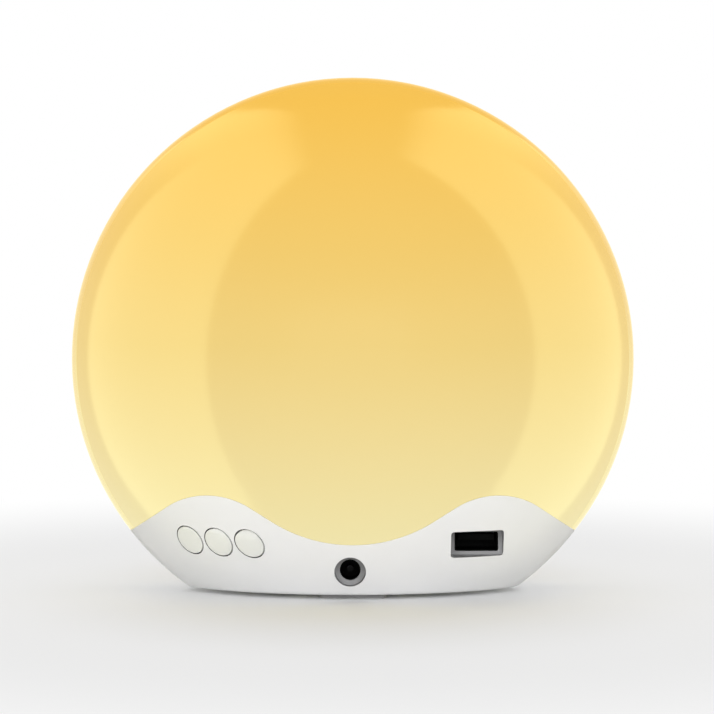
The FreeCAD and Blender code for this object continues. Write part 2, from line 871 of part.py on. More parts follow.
# Deck that closes the base, with its posts, the lamp frame's pad and the ribbon's slot
def make_deck():
    body = new_body("light_deck")
    turned_form(body, whole_solid("wall + fit_gap"))
    cut_through_view(body, below_wave("deck_drop + deck_wall"))
    raise_up(body, "floor_top + fit_gap", "crest_height - floor_top", mirrored_posts("post_radius"))
    cut_through_view(body, above_wave("deck_drop"))
    pad_low = "valley_height - deck_drop - over_cut"
    raise_up(body, pad_low, f"deck_pad_top - ({pad_low})",
             lambda sketch: frame_foot_outline(sketch, "pad_margin"))
    holes = new_sketch(body, "XY_Plane", out="floor_top")
    mirrored_posts("screw_radius + thread_gap")(holes)
    add_pocket(body, holes, "foot_drop + base_screw_lift + screw_head + base_screw_length + screw_end_gap"
               " - floor_top", True)
    holes = new_sketch(body, "XY_Plane", out="deck_pad_top")
    at_places(FRAME_SCREWS, "screw_radius + thread_gap")(holes)
    add_pocket(body, holes)
    cut_through_plan(body, lambda sketch: rectangle(
        sketch, "ribbon_start - ribbon_room", "ribbon_run - ribbon_room",
        "ribbon_start + ribbon_width + ribbon_room", "ribbon_run + ribbon_sheet + ribbon_room"))
    return body


def frame_foot_outline(sketch, margin):
    """The lamp frame's foot in plan, grown by a margin."""
    rectangle(sketch, f"-(frame_foot_half_width + {margin})", f"frame_face - frame_foot_front - {margin}",
              f"frame_foot_half_width + {margin}", f"frame_face + frame_foot_back + {margin}")


# The three keys: cap, switch plunger and switch in line, all square to the key board
def make_key_cap(number):
    body = new_body("cap_blank_%d" % number)
    across = key_offset(number)
    raise_up(body, "-(key_flange_depth)", "key_flange_depth + cut_margin", lambda sketch: circle(
        sketch, across, "0", "key_radius"))
    raise_up(body, "-(key_flange_depth + key_flange_wall)", "key_flange_wall", lambda sketch: circle(
        sketch, across, "0", "key_radius + key_flange"))
    body.setExpression("Placement", key_place())
    ball = doc.addObject("Part::Sphere", "cap_crown_%d" % number)
    ball.setExpression("Radius", full("rear_radius + key_proud"))
    ball.setExpression("Placement.Base.y", full("rear_depth"))
    ball.setExpression("Placement.Base.z", full("centre_height"))
    return boolean("Part::Common", "button_cap_%d" % number, body, ball)


def make_plunger(number):
    body = new_body("switch_plunger_%d" % number)
    raise_up(body, "-(switch_foot - plunger_seat)", "switch_body - plunger_seat + plunger_show",
             lambda sketch: circle(sketch, key_offset(number), "0", "plunger_radius"))
    body.setExpression("Placement", key_place())
    return body


def make_key_switches():
    body = new_body("key_switches")
    raise_up(body, "-switch_foot", "switch_body", lambda sketch: [
        middle_rectangle(sketch, key_offset(number), "0", "switch_width", "switch_width")
        for number in KEY_NUMBERS])
    sketch = new_sketch(body, "XY_Plane", out="-switch_top")
    for number in KEY_NUMBERS:
        circle(sketch, key_offset(number), "0", "plunger_radius + fit_gap")
    add_pocket(body, sketch, "switch_body - switch_floor")
    body.setExpression("Placement", key_place())
    return body


def make_key_board():
    body = new_body("key_board")
    raise_up(body, "-(switch_foot + board_wall)", "board_wall", lambda sketch: rounded_rectangle(
        sketch, "0", "key_board_shift", "key_board_width", "key_board_height", "board_corner"))
    body.setExpression("Placement", key_place())
    return body


# Charging socket
def make_charge_shell():
    body = new_body("charge_shell")
    push_back(body, "charge_face - charge_length", "charge_length - socket_drop",
              lambda sketch: rounded_rectangle(
                  sketch, "-charge_across", "charge_height", "charge_width", "charge_tall",
                  "charge_shell_corner"))
    sketch = new_sketch(body, "XZ_Plane", out="-charge_face")
    rounded_rectangle(sketch, "-charge_across", "charge_height", "charge_width - 2 * charge_sheet",
                      "charge_tall - 2 * charge_sheet", "charge_shell_corner - charge_sheet")
    add_pocket(body, sketch, "charge_length - charge_back", True)
    return body


def make_charge_tongue():
    body = new_body("charge_tongue")
    push_back(body, "charge_face - charge_length + charge_back", "tongue_length",
              lambda sketch: middle_rectangle(
                  sketch, "-charge_across", "charge_height + tongue_lift", "tongue_width", "tongue_wall"))
    return body


def make_charge_bezel():
    body = new_body("charge_bezel")
    push_back(body, "charge_face - bezel_wall", "bezel_wall", lambda sketch: [
        rounded_rectangle(sketch, "-charge_across", "charge_height", "charge_recess_width - fit_gap",
                          "charge_recess_height - fit_gap", "charge_corner"),
        rounded_rectangle(sketch, "-charge_across", "charge_height", "charge_width + fit_gap",
                          "charge_tall + fit_gap", "charge_shell_corner")])
    return body


def make_charge_board():
    body = new_body("charge_board")
    raise_up(body, "charge_board_top - board_wall", "board_wall", lambda sketch: rectangle(
        sketch, "-charge_board_side", "charge_board_front", "-charge_board_inner", "charge_board_rear"))
    cut_through_plan(body, at_places(CHARGE_POSTS, "screw_radius + thread_gap"))
    return body


# Power inlet
def make_inlet_bezel():
    body = new_body("inlet_bezel")
    push_back(body, "inlet_face - bezel_wall", "bezel_wall", lambda sketch: [
        circle(sketch, "inlet_across", "inlet_height", "inlet_recess_radius - fit_gap / 2"),
        circle(sketch, "inlet_across", "inlet_height", "inlet_hole_radius")])
    return body


def make_inlet_jack():
    body = new_body("inlet_jack")
    push_back(body, "inlet_face - bezel_wall - inlet_barrel_length", "inlet_barrel_length - socket_drop",
              lambda sketch: circle(sketch, "inlet_across", "inlet_height", "inlet_barrel_radius"))
    sketch = new_sketch(body, "XZ_Plane", out="-inlet_face")
    circle(sketch, "inlet_across", "inlet_height", "inlet_hole_radius - fit_gap")
    add_pocket(body, sketch, "inlet_barrel_length - inlet_back", True)
    return body


def make_inlet_pin():
    body = new_body("inlet_pin")
    push_back(body, "inlet_face - inlet_barrel_length + inlet_back", "inlet_pin_length",
              lambda sketch: circle(sketch, "inlet_across", "inlet_height", "inlet_pin_radius"))
    return body


# Speaker, facing down over the grille
def make_speaker():
    rest = "plate_top + speaker_rest"
    frame = new_body("speaker_frame")
    rim_top = f"{rest} + speaker_rim_height"
    upright_turned(frame, "speaker_across", "plate_middle", lambda sketch: outline(sketch, [
        ("speaker_radius - speaker_rim", rest), ("speaker_radius", rest), ("speaker_radius", rim_top),
        ("speaker_shoulder", f"{rim_top} + speaker_sheet"), ("speaker_neck", f"{rim_top} + speaker_sheet"),
        ("speaker_neck", rim_top), ("speaker_shoulder - speaker_sheet / 2", rim_top),
        ("speaker_radius - speaker_rim", f"{rim_top} - speaker_sheet")]))
    cone = new_body("speaker_cone")
    edge = "speaker_radius - speaker_rim - cone_gap"
    upright_turned(cone, "speaker_across", "plate_middle", lambda sketch: outline(sketch, [
        ("0", "plate_top + cone_high - cone_sheet"), ("cap_radius", "plate_top + cone_high"),
        (edge, "plate_top + cone_low"), (edge, "plate_top + cone_low + cone_sheet"),
        ("cap_radius", "plate_top + cone_high + cone_sheet"), ("0", "plate_top + cone_high + cone_sheet")]))
    magnet = new_body("speaker_magnet")
    upright_turned(magnet, "speaker_across", "plate_middle", lambda sketch: outline(sketch, [
        ("0", f"{rim_top} + speaker_sheet"), ("magnet_radius", f"{rim_top} + speaker_sheet"),
        ("magnet_radius", "plate_top + speaker_height"), ("0", "plate_top + speaker_height")]))
    return [frame, cone, magnet]


def make_main_board():
    body = new_body("main_board")
    raise_up(body, "board_level", "board_wall", lambda sketch: rectangle(
        sketch, "main_board_left", "main_board_front", "main_board_right", "main_board_rear"))
    cut_through_plan(body, at_places(MAIN_POSTS, "screw_radius + thread_gap"))
    return body


def make_board_parts():
    body = new_body("board_parts")
    top = "board_level + board_wall"
    raise_up(body, top, "chip_height", lambda sketch: middle_rectangle(
        sketch, "chip_across", "chip_depth", "chip_width", "chip_width"))
    for name in ("ribbon_socket", "plug"):
        raise_up(body, top, f"{name}_height", lambda sketch: middle_rectangle(
            sketch, f"{name}_across", f"{name}_depth", f"{name}_width", f"{name}_deep"))
    raise_up(body, top, "capacitor_height", lambda sketch: [
        circle(sketch, "capacitor_across", f"capacitor_depth {side} capacitor_spread", "capacitor_radius")
        for side in ("+", "-")])
    return body


# Lamp frame, lamp board and display
def make_inner_frame():
    body = new_body("inner_frame")
    push_back(body, "frame_face", "frame_wall", lambda sketch: rectangle(
        sketch, "-frame_half_width", "deck_pad_top", "frame_half_width", "frame_top"))
    low, high = "deck_pad_top - over_cut", "deck_pad_top + frame_foot_rise"
    cut_through_view(body, lambda sketch: [
        rectangle(sketch, "-(frame_half_width + over_cut)", low, "-frame_foot_half_width", high),
        rectangle(sketch, "frame_foot_half_width", low, "frame_half_width + over_cut", high)])
    raise_up(body, "deck_pad_top", "frame_foot_wall", lambda sketch: frame_foot_outline(sketch, "0"))
    push_back(body, "display_back + board_wall", "frame_face - display_back - board_wall", lambda sketch: [
        circle(sketch, f"{side}display_post_across", f"centre_height {lift} display_post_up",
               "board_post_radius") for side in ("", "-") for lift in ("+", "-")])
    cut_through_plan(body, at_places(FRAME_SCREWS, "screw_radius + thread_gap"))
    return body


def make_lamp():
    board = new_body("lamp_board")
    push_back(board, "frame_face + frame_wall", "lamp_wall", lambda sketch: circle(
        sketch, "0", "centre_height", "lamp_radius"))
    lights = new_body("lamp_lights")
    push_back(lights, "frame_face + frame_wall + lamp_wall", "light_deep", draw_lights)
    return [board, lights]


def draw_lights(sketch):
    """Two rings of lights on the lamp board."""
    for count, ring in LIGHT_RINGS:
        for number in range(count):
            turn = 360 * number / count
            middle_rectangle(sketch, f"{ring} * cos({turn})", f"centre_height + {ring} * sin({turn})",
                             "light_width", "light_tall")


def make_display():
    board = new_body("display_board")
    push_back(board, "display_back", "board_wall", lambda sketch: middle_rectangle(
        sketch, "0", "centre_height", "2 * (display_half_width + display_margin)",
        "2 * (display_half_height + display_margin)"))
    digits = new_body("digit_block")
    push_back(digits, "hood_face + hood_step", "display_deep", lambda sketch: middle_rectangle(
        sketch, "0", "centre_height", "2 * display_half_width", "2 * display_half_height"))
    hood = new_body("display_hood")
    push_back(hood, "hood_face", "display_deep + hood_step", lambda sketch: [
        middle_rectangle(sketch, "0", "centre_height", f"2 * (display_half_width + {room})",
                         f"2 * (display_half_height + {room})") for room in ("hood_wall", "fit_gap")])
    return [board, digits, hood]


# Touch keys behind the front wall of the base
def make_touch_keys():
    board = new_body("touch_board")
    push_back(board, "touch_face", "touch_board_wall", lambda sketch: rectangle(
        sketch, "-touch_half_width", "floor_top + touch_board_lift", "touch_half_width",
        "valley_height - touch_board_drop"))
    springs = new_body("touch_springs")
    for place in TOUCH_KEYS:
        across = f"touch_pitch * {place}"
        wall = (f"(front_depth - sqrt((front_radius - wall) ^ 2 - ({across}) ^ 2"
                " - (centre_height - touch_height) ^ 2))")
        sketch = new_sketch(springs, "XZ_Plane", out="-touch_face")
        circle(sketch, across, "touch_height", "touch_spring_radius")
        add_pad(springs, sketch, f"touch_face - {wall} - touch_spring_gap")
    return [board, springs]


def make_lamp_ribbon():
    body = new_body("lamp_ribbon")
    sketch = new_sketch(body, "YZ_Plane", out="ribbon_start")
    back = "frame_face + frame_wall + lamp_wall + ribbon_gap"
    start = "board_level + board_wall + ribbon_socket_height + ribbon_gap"
    low, high = "valley_height + ribbon_bend_low", "centre_height - ribbon_bend_high"
    outline(sketch, [
        ("ribbon_run", start), ("ribbon_run + ribbon_sheet", start), ("ribbon_run + ribbon_sheet", low),
        (f"{back} + ribbon_sheet", high), (f"{back} + ribbon_sheet", "centre_height - ribbon_end"),
        (back, "centre_height - ribbon_end"), (back, high), ("ribbon_run", low)])
    add_pad(body, sketch, "ribbon_width")
    return body


def make_feet():
    rear = new_body("rear_foot")
    raise_up(rear, "0", "foot_drop", lambda sketch: rounded_rectangle(
        sketch, "0", "rear_foot_depth", "rear_foot_width", "rear_foot_deep", "rear_foot_corner"))
    front = new_body("front_feet")
    raise_up(front, "0", "foot_drop", lambda sketch: [
        rounded_rectangle(sketch, f"{side}front_foot_across", "front_foot_depth", "front_foot_width",
                          "front_foot_deep", "front_foot_corner") for side in ("", "-")])
    return [rear, front]


# Screws, each a head and a shank
def make_screws(label, places, head_low, shank, upward):
    """Pan-head screws at some places; upward ones are driven from below."""
    body = new_body(label)
    raise_up(body, head_low, "screw_head", at_places(places, "screw_head_radius"))
    low = f"{head_low} + screw_head" if upward else f"{head_low} - ({shank})"
    raise_up(body, low, shank, at_places(places, "screw_radius"))
    return body


def make_all_screws():
    posts = [(f"{side}{name}_across", f"{name}_depth") for side in ("", "-")
             for name in ("side_post", "rear_post")]
    return [
        make_screws("base_screws", posts, "foot_drop + base_screw_lift", "base_screw_length", True),
        make_screws("plate_screws", PLATE_SCREWS, "foot_drop + plate_sink - screw_head",
                    "plate_screw_length", True),
        make_screws("door_screw", DOOR_SCREW, "foot_drop + screw_sink - screw_head",
                    "door_screw_length", True),
        make_screws("board_screws", MAIN_POSTS, "board_level + board_wall", "board_screw_length", False),
        make_screws("charge_screws", CHARGE_POSTS, "charge_board_top", "board_screw_length", False),
        make_screws("frame_screws", FRAME_SCREWS, "deck_pad_top + frame_foot_wall",
                    "frame_screw_length", False),
    ]


def build():
    parts = [
        make_rear_shade(),
        make_front_shade(),
        make_base_housing(),
        make_bottom_plate(),
        make_battery_door(),
        make_coin_cell(),
        make_cell_clip(),
        make_deck(),
        make_key_switches(),
        make_key_board(),
        make_charge_shell(),
        make_charge_tongue(),
        make_charge_bezel(),
        make_charge_board(),
        make_inlet_bezel(),
        make_inlet_jack(),
        make_inlet_pin(),
        make_main_board(),
        make_board_parts(),
        make_inner_frame(),
        make_lamp_ribbon(),
    ]
    for number in KEY_NUMBERS:
        parts += [make_key_cap(number), make_plunger(number)]
    parts += make_speaker() + make_lamp() + make_display() + make_touch_keys()
    parts += make_feet() + make_all_screws()
    doc.recompute()
    return parts


def check(objects):
    """Stops on any object that failed and on any bad solid."""
    for item in doc.Objects:
        if "Invalid" in item.State or "Error" in item.State:
            raise RuntimeError("%s failed: %s" % (item.Label, item.State))
    for item in objects:
        if item.Shape.isNull() or not item.Shape.isValid():
            raise RuntimeError("%s has a bad shape" % item.Label)


def write(objects):
    os.makedirs("parts", exist_ok=True)
    for item in objects:
        item.Shape.exportStep("parts/%s.step" % item.Label)
        box = item.Shape.BoundBox
        print("%-20s %d solids %9.1f mm3  x %.1f..%.1f y %.1f..%.1f z %.1f..%.1f" % (
            item.Label, len(item.Shape.Solids), item.Shape.Volume,
            box.XMin, box.XMax, box.YMin, box.YMax, box.ZMin, box.ZMax))


nodes = build()
check(nodes)
write(nodes)
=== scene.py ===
import json
import math

import bmesh
import bpy
from bpy.props import FloatProperty, FloatVectorProperty, PointerProperty
from mathutils import Matrix, Vector


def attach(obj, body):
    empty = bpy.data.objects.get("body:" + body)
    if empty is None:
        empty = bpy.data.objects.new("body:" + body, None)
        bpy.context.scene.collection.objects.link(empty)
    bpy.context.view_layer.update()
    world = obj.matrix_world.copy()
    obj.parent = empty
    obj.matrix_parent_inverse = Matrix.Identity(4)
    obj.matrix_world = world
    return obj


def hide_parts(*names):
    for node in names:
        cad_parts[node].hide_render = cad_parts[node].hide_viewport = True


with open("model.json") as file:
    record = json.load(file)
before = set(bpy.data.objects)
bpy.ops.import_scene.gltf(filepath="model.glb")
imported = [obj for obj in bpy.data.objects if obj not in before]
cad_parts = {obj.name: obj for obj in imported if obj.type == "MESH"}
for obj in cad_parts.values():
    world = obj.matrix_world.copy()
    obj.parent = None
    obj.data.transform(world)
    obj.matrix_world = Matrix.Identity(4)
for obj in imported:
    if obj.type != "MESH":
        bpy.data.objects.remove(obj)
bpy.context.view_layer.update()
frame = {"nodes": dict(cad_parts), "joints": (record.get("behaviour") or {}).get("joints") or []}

bl_info = {
    "name": "Sunrise Alarm Clock",
    "version": (1, 0, 0),
    "blender": (4, 5, 0),
    "location": "3D View > Sidebar > Sunrise Clock",
    "description": "Models and finishes a round sunrise alarm clock around its packed frame",
    "category": "Mesh",
}

NODES = frame["nodes"]
WHITE = (1.0, 1.0, 1.0)
BLACK = (0.0, 0.0, 0.0)
FAINT_GREY = (0.005, 0.005, 0.005)

# Directions at the keys, from the travel of the middle one: out of the base, and level from key 3 to key 1
PRESS = next(joint for joint in frame["joints"] if joint["name"] == "key_2_press")
KEY_OUTWARD = -Vector(PRESS["axis"]).normalized()
KEY_ROW = KEY_OUTWARD.cross(Vector((0, 0, 1))).normalized()


# Properties

def length(name, about, metres):
    return FloatProperty(name=name, description=about, default=metres, unit="LENGTH", precision=5)


def position(name, about, *metres):
    return FloatVectorProperty(
        name=name, description=about, default=metres, size=len(metres), unit="LENGTH", precision=5)


def turn(name, about, degrees):
    return FloatProperty(name=name, description=about, default=math.radians(degrees), unit="ROTATION")


def strength(name, about, value):
    return FloatProperty(name=name, description=about, default=value, min=0.0)


def colour(name, about, red, green, blue):
    return FloatVectorProperty(
        name=name, description=about, default=(red, green, blue), min=0.0, max=1.0, size=3, subtype="COLOR")


class ClockSizes(bpy.types.PropertyGroup):
    centre_height: length("Centre height", "Height of the round form's level axis", 0.0721)
    rear_radius: length("Rear radius", "Radius of the rear dome", 0.0943)
    rear_depth: length("Rear depth", "Where the rear dome's centre is in depth", -0.04744)
    key_place: position("Key place", "Where the middle key meets the base", 0.0407, 0.01801, 0.01775)
    key_pitch: length("Key pitch", "Distance from key to key", 0.0107)
    key_radius: length("Key radius", "Radius of a key", 0.0045)
    key_depth: length("Key depth", "From a key's face to its flange", 0.0087)
    key_proud: length("Key proud", "How far the keys stand out of the base", 0.00015)
    key_edge: length("Key edge", "Rounding of the keys' edges", 0.0002)
    flange_reach: length("Flange reach", "How far a key's flange stands out", 0.00035)
    flange_wall: length("Flange wall", "Thickness of a key's flange", 0.0009)
    # The painted shade fills the bore out to this radius.
    bore_radius: length("Bore radius", "Radius of the dark bore round a key", 0.00487)
    charge_place: position("Charging socket place", "Its middle, across and up", -0.0377, 0.0173)
    charge_half: position("Charging socket half size", "Half its lining, across and up", 0.00814, 0.00419)
    charge_corner: length("Charging socket corner", "Rounding of its lining", 0.0012)
    contact_size: position("Contact size", "A contact, across, in depth and up", 0.001, 0.0066, 0.00014)
    inlet_place: position("Inlet place", "Middle of the power inlet, across and up", 0.0008, 0.0091)
    inlet_radius: length("Inlet radius", "Radius of the power inlet's lining", 0.00479)
    foot_height: length("Foot height", "Height of the feet", 0.0013)
    foot_border: length("Foot border", "Width of a foot's rim round its field", 0.0005)
    foot_hollow: length("Foot hollow", "Depth of a foot's field", 0.00015)
    screw_head_radius: length("Screw head radius", "Radius of the screws' heads", 0.0022)
    screw_head: length("Screw head", "Height of the screws' heads", 0.0013)
    screw_radius: length("Screw radius", "Radius of the screws' shanks", 0.0012)


class ClockColours(bpy.types.PropertyGroup):
    glow_top: colour("Glow, top", "Light of the shade at its top", 0.97, 0.565, 0.08)
    glow_middle: colour("Glow, middle", "Light of the shade at its middle", 0.86, 0.63, 0.20)
    glow_low: colour("Glow, low", "Light of the shade near the base", 0.87, 0.775, 0.405)
    glow_rim: colour("Glow, rim", "Light of the front shade at its edge", 0.96, 0.85, 0.38)
    glow_strength: strength("Glow strength", "How strongly the shade shines", 0.825)
    figures: colour("Figures", "Light of the time's figures", 1.0, 0.98, 0.9)
    base_white: colour("Base white", "Plastic of the base", 0.785, 0.785, 0.785)
    key_white: colour("Key white", "Plastic of the keys", 0.74, 0.745, 0.715)
    # Painted shade in the bores round the keys.
    bore_shade: colour("Key gap", "Dark bores round the keys", 0.03, 0.03, 0.03)
    # This grey is also painted on the base's recess walls round the sockets, as painted shade.
    bezel_grey: colour("Bezel grey", "Linings of the two sockets", 0.33, 0.33, 0.335)
    # Near black: the own colour of black parts inside, and on the sockets' parts also painted shade.
    socket_black: colour("Socket black", "Moulded inner parts of the sockets", 0.003, 0.003, 0.003)
    foot_grey: colour("Foot grey", "Rubber of the feet", 0.2, 0.2, 0.2)


class ClockStage(bpy.types.PropertyGroup):
    distance: length("Distance", "From the middle of the shade to the camera", 1.13)
    elevation: turn("Elevation", "Height of the camera as an angle", 2.0)
    lens: strength("Lens", "Focal length on a 36 mm sensor, in millimetres", 185.5)
    shift: FloatVectorProperty(
        name="Shift", description="Shift of the camera's picture, across and up",
        default=(0.0059, 0.0053), size=2)
    floor_reach: length("Floor reach", "Half the side of the floor", 4.0)
    floor_tone: colour("Floor tone", "Paper of the floor near the clock", 0.875, 0.88, 0.9)
    room_light: strength("Room light", "Even light from all round", 0.26)


# Shader node groups and materials

def feed(tree, socket, value):
    """Links another node's socket, or sets a number or a colour."""
    if isinstance(value, bpy.types.NodeSocket):
        tree.links.new(value, socket)
    elif isinstance(value, (int, float)):
        socket.default_value = value
    else:
        socket.default_value = (*value, 1.0)


def node_group(name, inputs, outputs):
    """A shader node group with named sockets, and the nodes at its two ends."""
    tree = bpy.data.node_groups.new(name, "ShaderNodeTree")
    for label, kind, value in inputs:
        socket = tree.interface.new_socket(label, in_out="INPUT", socket_type=kind)
        socket.default_value = value
    for label, kind in outputs:
        tree.interface.new_socket(label, in_out="OUTPUT", socket_type=kind)
    return tree, tree.nodes.new("NodeGroupInput"), tree.nodes.new("NodeGroupOutput")


def axes(tree, source="ShaderNodeTexCoord", output="Object"):
    """X, Y and Z of a place apart, by default in the piece's own coordinates."""
    split = tree.nodes.new("ShaderNodeSeparateXYZ")
    tree.links.new(tree.nodes.new(source).outputs[output], split.inputs[0])
    return split.outputs


def math_node(tree, operation, *values):
    """A Math node, fed by sockets or by numbers."""
    node = tree.nodes.new("ShaderNodeMath")
    node.operation = operation
    for socket, value in zip(node.inputs, values):
        feed(tree, socket, value)
    return node.outputs[0]


def vector_node(tree, operation, first, second=None):
    """A Vector Math node, whose second vector is fixed."""
    node = tree.nodes.new("ShaderNodeVectorMath")
    node.operation = operation
    tree.links.new(first, node.inputs[0])
    if second is not None:
        node.inputs[1].default_value = second
    return node.outputs["Value" if operation == "LENGTH" else "Vector"]


def map_range(tree, value, low, high, to_low, to_high, smooth=False):
    """A Map Range node, straight or with soft ends."""
    node = tree.nodes.new("ShaderNodeMapRange")
    node.interpolation_type = "SMOOTHSTEP" if smooth else "LINEAR"
    bounds = {"Value": value, "From Min": low, "From Max": high, "To Min": to_low, "To Max": to_high}
    for label, bound in bounds.items():
        feed(tree, node.inputs[label], bound)
    return node.outputs["Result"]


def noise(tree, scale, detail, roughness, stretch=None):
    """Noise over the piece's own coordinates, in metres, perhaps stretched."""
    place = tree.nodes.new("ShaderNodeTexCoord").outputs["Object"]
    if stretch:
        mapping = tree.nodes.new("ShaderNodeMapping")
        mapping.inputs["Scale"].default_value = stretch
        tree.links.new(place, mapping.inputs["Vector"])
        place = mapping.outputs["Vector"]
    node = tree.nodes.new("ShaderNodeTexNoise")
    for label, value in (("Vector", place), ("Scale", scale), ("Detail", detail), ("Roughness", roughness)):
        feed(tree, node.inputs[label], value)
    return node.outputs["Fac"]


def mix_colour(tree, factor, first, second):
    """A Mix node for two colours."""
    node = tree.nodes.new("ShaderNodeMix")
    node.data_type = "RGBA"
    sockets = {socket.name: socket for socket in node.inputs if socket.type == "RGBA"}
    feed(tree, node.inputs[0], factor)
    feed(tree, sockets["A"], first)
    feed(tree, sockets["B"], second)
    return next(socket for socket in node.outputs if socket.type == "RGBA")


def mix_shaders(tree, factor, first, second, end):
    """Mixes two shaders into the surface of a material or a world."""
    mixed = tree.nodes.new("ShaderNodeMixShader")
    for socket, value in zip(mixed.inputs, (factor, first, second)):
        tree.links.new(value, socket)
    tree.links.new(mixed.outputs[0], tree.nodes[end].inputs["Surface"])


def mottle_group():
    """Slow uneven change between two colours, as in moulded plastic or coated sheet."""
    tree, start, end = node_group(
        "mottle",
        [("Colour", "NodeSocketColor", (1, 1, 1, 1)), ("Second", "NodeSocketColor", (1, 1, 1, 1)),
         ("Scale", "NodeSocketFloat", 40.0), ("Amount", "NodeSocketFloat", 0.5)],
        [("Colour", "NodeSocketColor")])
    given = start.outputs
    spots = map_range(tree, noise(tree, given["Scale"], 4.0, 0.55), 0.35, 0.65, 0.0, 1.0, True)
    factor = math_node(tree, "MULTIPLY", spots, given["Amount"])
    tree.links.new(mix_colour(tree, factor, given["Colour"], given["Second"]), end.inputs["Colour"])
    return tree


def grain_group():
    """Fine even grain for roughness and bump."""
    tree, start, end = node_group(
        "grain",
        [("Scale", "NodeSocketFloat", 2500.0), ("Low", "NodeSocketFloat", 0.3),
         ("High", "NodeSocketFloat", 0.4)],
        [("Roughness", "NodeSocketFloat"), ("Height", "NodeSocketFloat")])
    given = start.outputs
    fine = noise(tree, given["Scale"], 3.0, 0.6)
    broad = noise(tree, math_node(tree, "MULTIPLY", given["Scale"], 0.02), 3.0, 0.5)
    both = math_node(tree, "MULTIPLY", math_node(tree, "ADD", fine, broad), 0.5)
    tree.links.new(map_range(tree, both, 0.3, 0.7, given["Low"], given["High"]), end.inputs["Roughness"])
    tree.links.new(fine, end.inputs["Height"])
    return tree


def drawn_group():
    """Long fine lines left by drawing or brushing metal."""
    tree, start, end = node_group(
        "drawn_lines",
        [("Low", "NodeSocketFloat", 0.2), ("High", "NodeSocketFloat", 0.4)],
        [("Roughness", "NodeSocketFloat"), ("Height", "NodeSocketFloat")])
    given = start.outputs
    lines = noise(tree, 300.0, 4.0, 0.7, (1.0, 30.0, 30.0))
    tree.links.new(map_range(tree, lines, 0.3, 0.7, given["Low"], given["High"]), end.inputs["Roughness"])
    tree.links.new(lines, end.inputs["Height"])
    return tree


def rise_group():
    """Three colours up the piece, from low to high."""
    tree, start, end = node_group(
        "rise",
        [("Low", "NodeSocketColor", (1, 1, 1, 1)), ("Middle", "NodeSocketColor", (1, 1, 1, 1)),
         ("High", "NodeSocketColor", (1, 1, 1, 1)), ("Low at", "NodeSocketFloat", 0.02),
         ("Middle at", "NodeSocketFloat", 0.075), ("High at", "NodeSocketFloat", 0.15)],
        [("Colour", "NodeSocketColor")])
    given = start.outputs
    up = axes(tree)["Z"]
    whole = given["Low"]
    for below, above in (("Low", "Middle"), ("Middle", "High")):
        factor = map_range(tree, up, given[below + " at"], given[above + " at"], 0.0, 1.0)
        whole = mix_colour(tree, factor, whole, given[above])
    tree.links.new(whole, end.inputs["Colour"])
    return tree


def window_group():
    """Mask of a round-cornered field on the piece as seen from the front or the rear."""
    tree, start, end = node_group(
        "window",
        [("Across", "NodeSocketFloat", 0.0), ("Up", "NodeSocketFloat", 0.07),
         ("Half width", "NodeSocketFloat", 0.005), ("Half height", "NodeSocketFloat", 0.005),
         ("Corner", "NodeSocketFloat", 0.001), ("Soft edge", "NodeSocketFloat", 0.0001)],
        [("Mask", "NodeSocketFloat")])
    given = start.outputs
    place = axes(tree)
    squares = []
    for axis, centre, half in (("X", "Across", "Half width"), ("Z", "Up", "Half height")):
        away = math_node(tree, "ABSOLUTE", math_node(tree, "SUBTRACT", place[axis], given[centre]))
        straight = math_node(tree, "SUBTRACT", given[half], given["Corner"])
        beyond = math_node(tree, "MAXIMUM", math_node(tree, "SUBTRACT", away, straight), 0.0)
        squares.append(math_node(tree, "MULTIPLY", beyond, beyond))
    reach = math_node(tree, "SQRT", math_node(tree, "ADD", *squares))
    distance = math_node(tree, "SUBTRACT", reach, given["Corner"])
    inner = math_node(tree, "MULTIPLY", given["Soft edge"], -1.0)
    tree.links.new(map_range(tree, distance, inner, 0.0, 1.0, 0.0), end.inputs["Mask"])
    return tree


GROUP_MAKERS = {"mottle": mottle_group, "grain": grain_group, "drawn_lines": drawn_group, "rise": rise_group,
                "window": window_group}


def place_group(tree, name, **values):
    """Places a shared group in a material, building it the first time."""
    node = tree.nodes.new("ShaderNodeGroup")
    node.node_tree = bpy.data.node_groups.get(name) or GROUP_MAKERS[name]()
    for label, value in values.items():
        feed(tree, node.inputs[label.replace("_", " ")], value)
    return node.outputs


def new_material(name):
    """A material, its nodes and its Principled shader."""
    material = bpy.data.materials.new(name)
    material.use_nodes = True
    return material, material.node_tree, material.node_tree.nodes["Principled BSDF"]


def add_finish(tree, shader, finish, strength, distance):
    """Roughness and a bump from a group that gives both."""
    bump = tree.nodes.new("ShaderNodeBump")
    bump.inputs["Strength"].default_value = strength
    bump.inputs["Distance"].default_value = distance
    tree.links.new(finish["Height"], bump.inputs["Height"])
    tree.links.new(bump.outputs["Normal"], shader.inputs["Normal"])
    tree.links.new(finish["Roughness"], shader.inputs["Roughness"])


def darker(tone, share):
    return [share * value for value in tone]


def moulded(name, main, second, low, high, scale=2500.0, bump=0.05, gloss=0.5, metallic=0.0, drawn=False):
    """Plastic, rubber, board or metal: uneven colour, grained or drawn roughness and a fine bump."""
    material, tree, shader = new_material(name)
    body = place_group(tree, "mottle", Colour=main, Second=second, Scale=60.0, Amount=0.6)
    tree.links.new(body["Colour"], shader.inputs["Base Color"])
    if drawn:
        finish = place_group(tree, "drawn_lines", Low=low, High=high)
    else:
        finish = place_group(tree, "grain", Scale=scale, Low=low, High=high)
    add_finish(tree, shader, finish, bump, 0.0001)
    shader.inputs["Metallic"].default_value = metallic
    shader.inputs["Specular IOR Level"].default_value = gloss
    return material


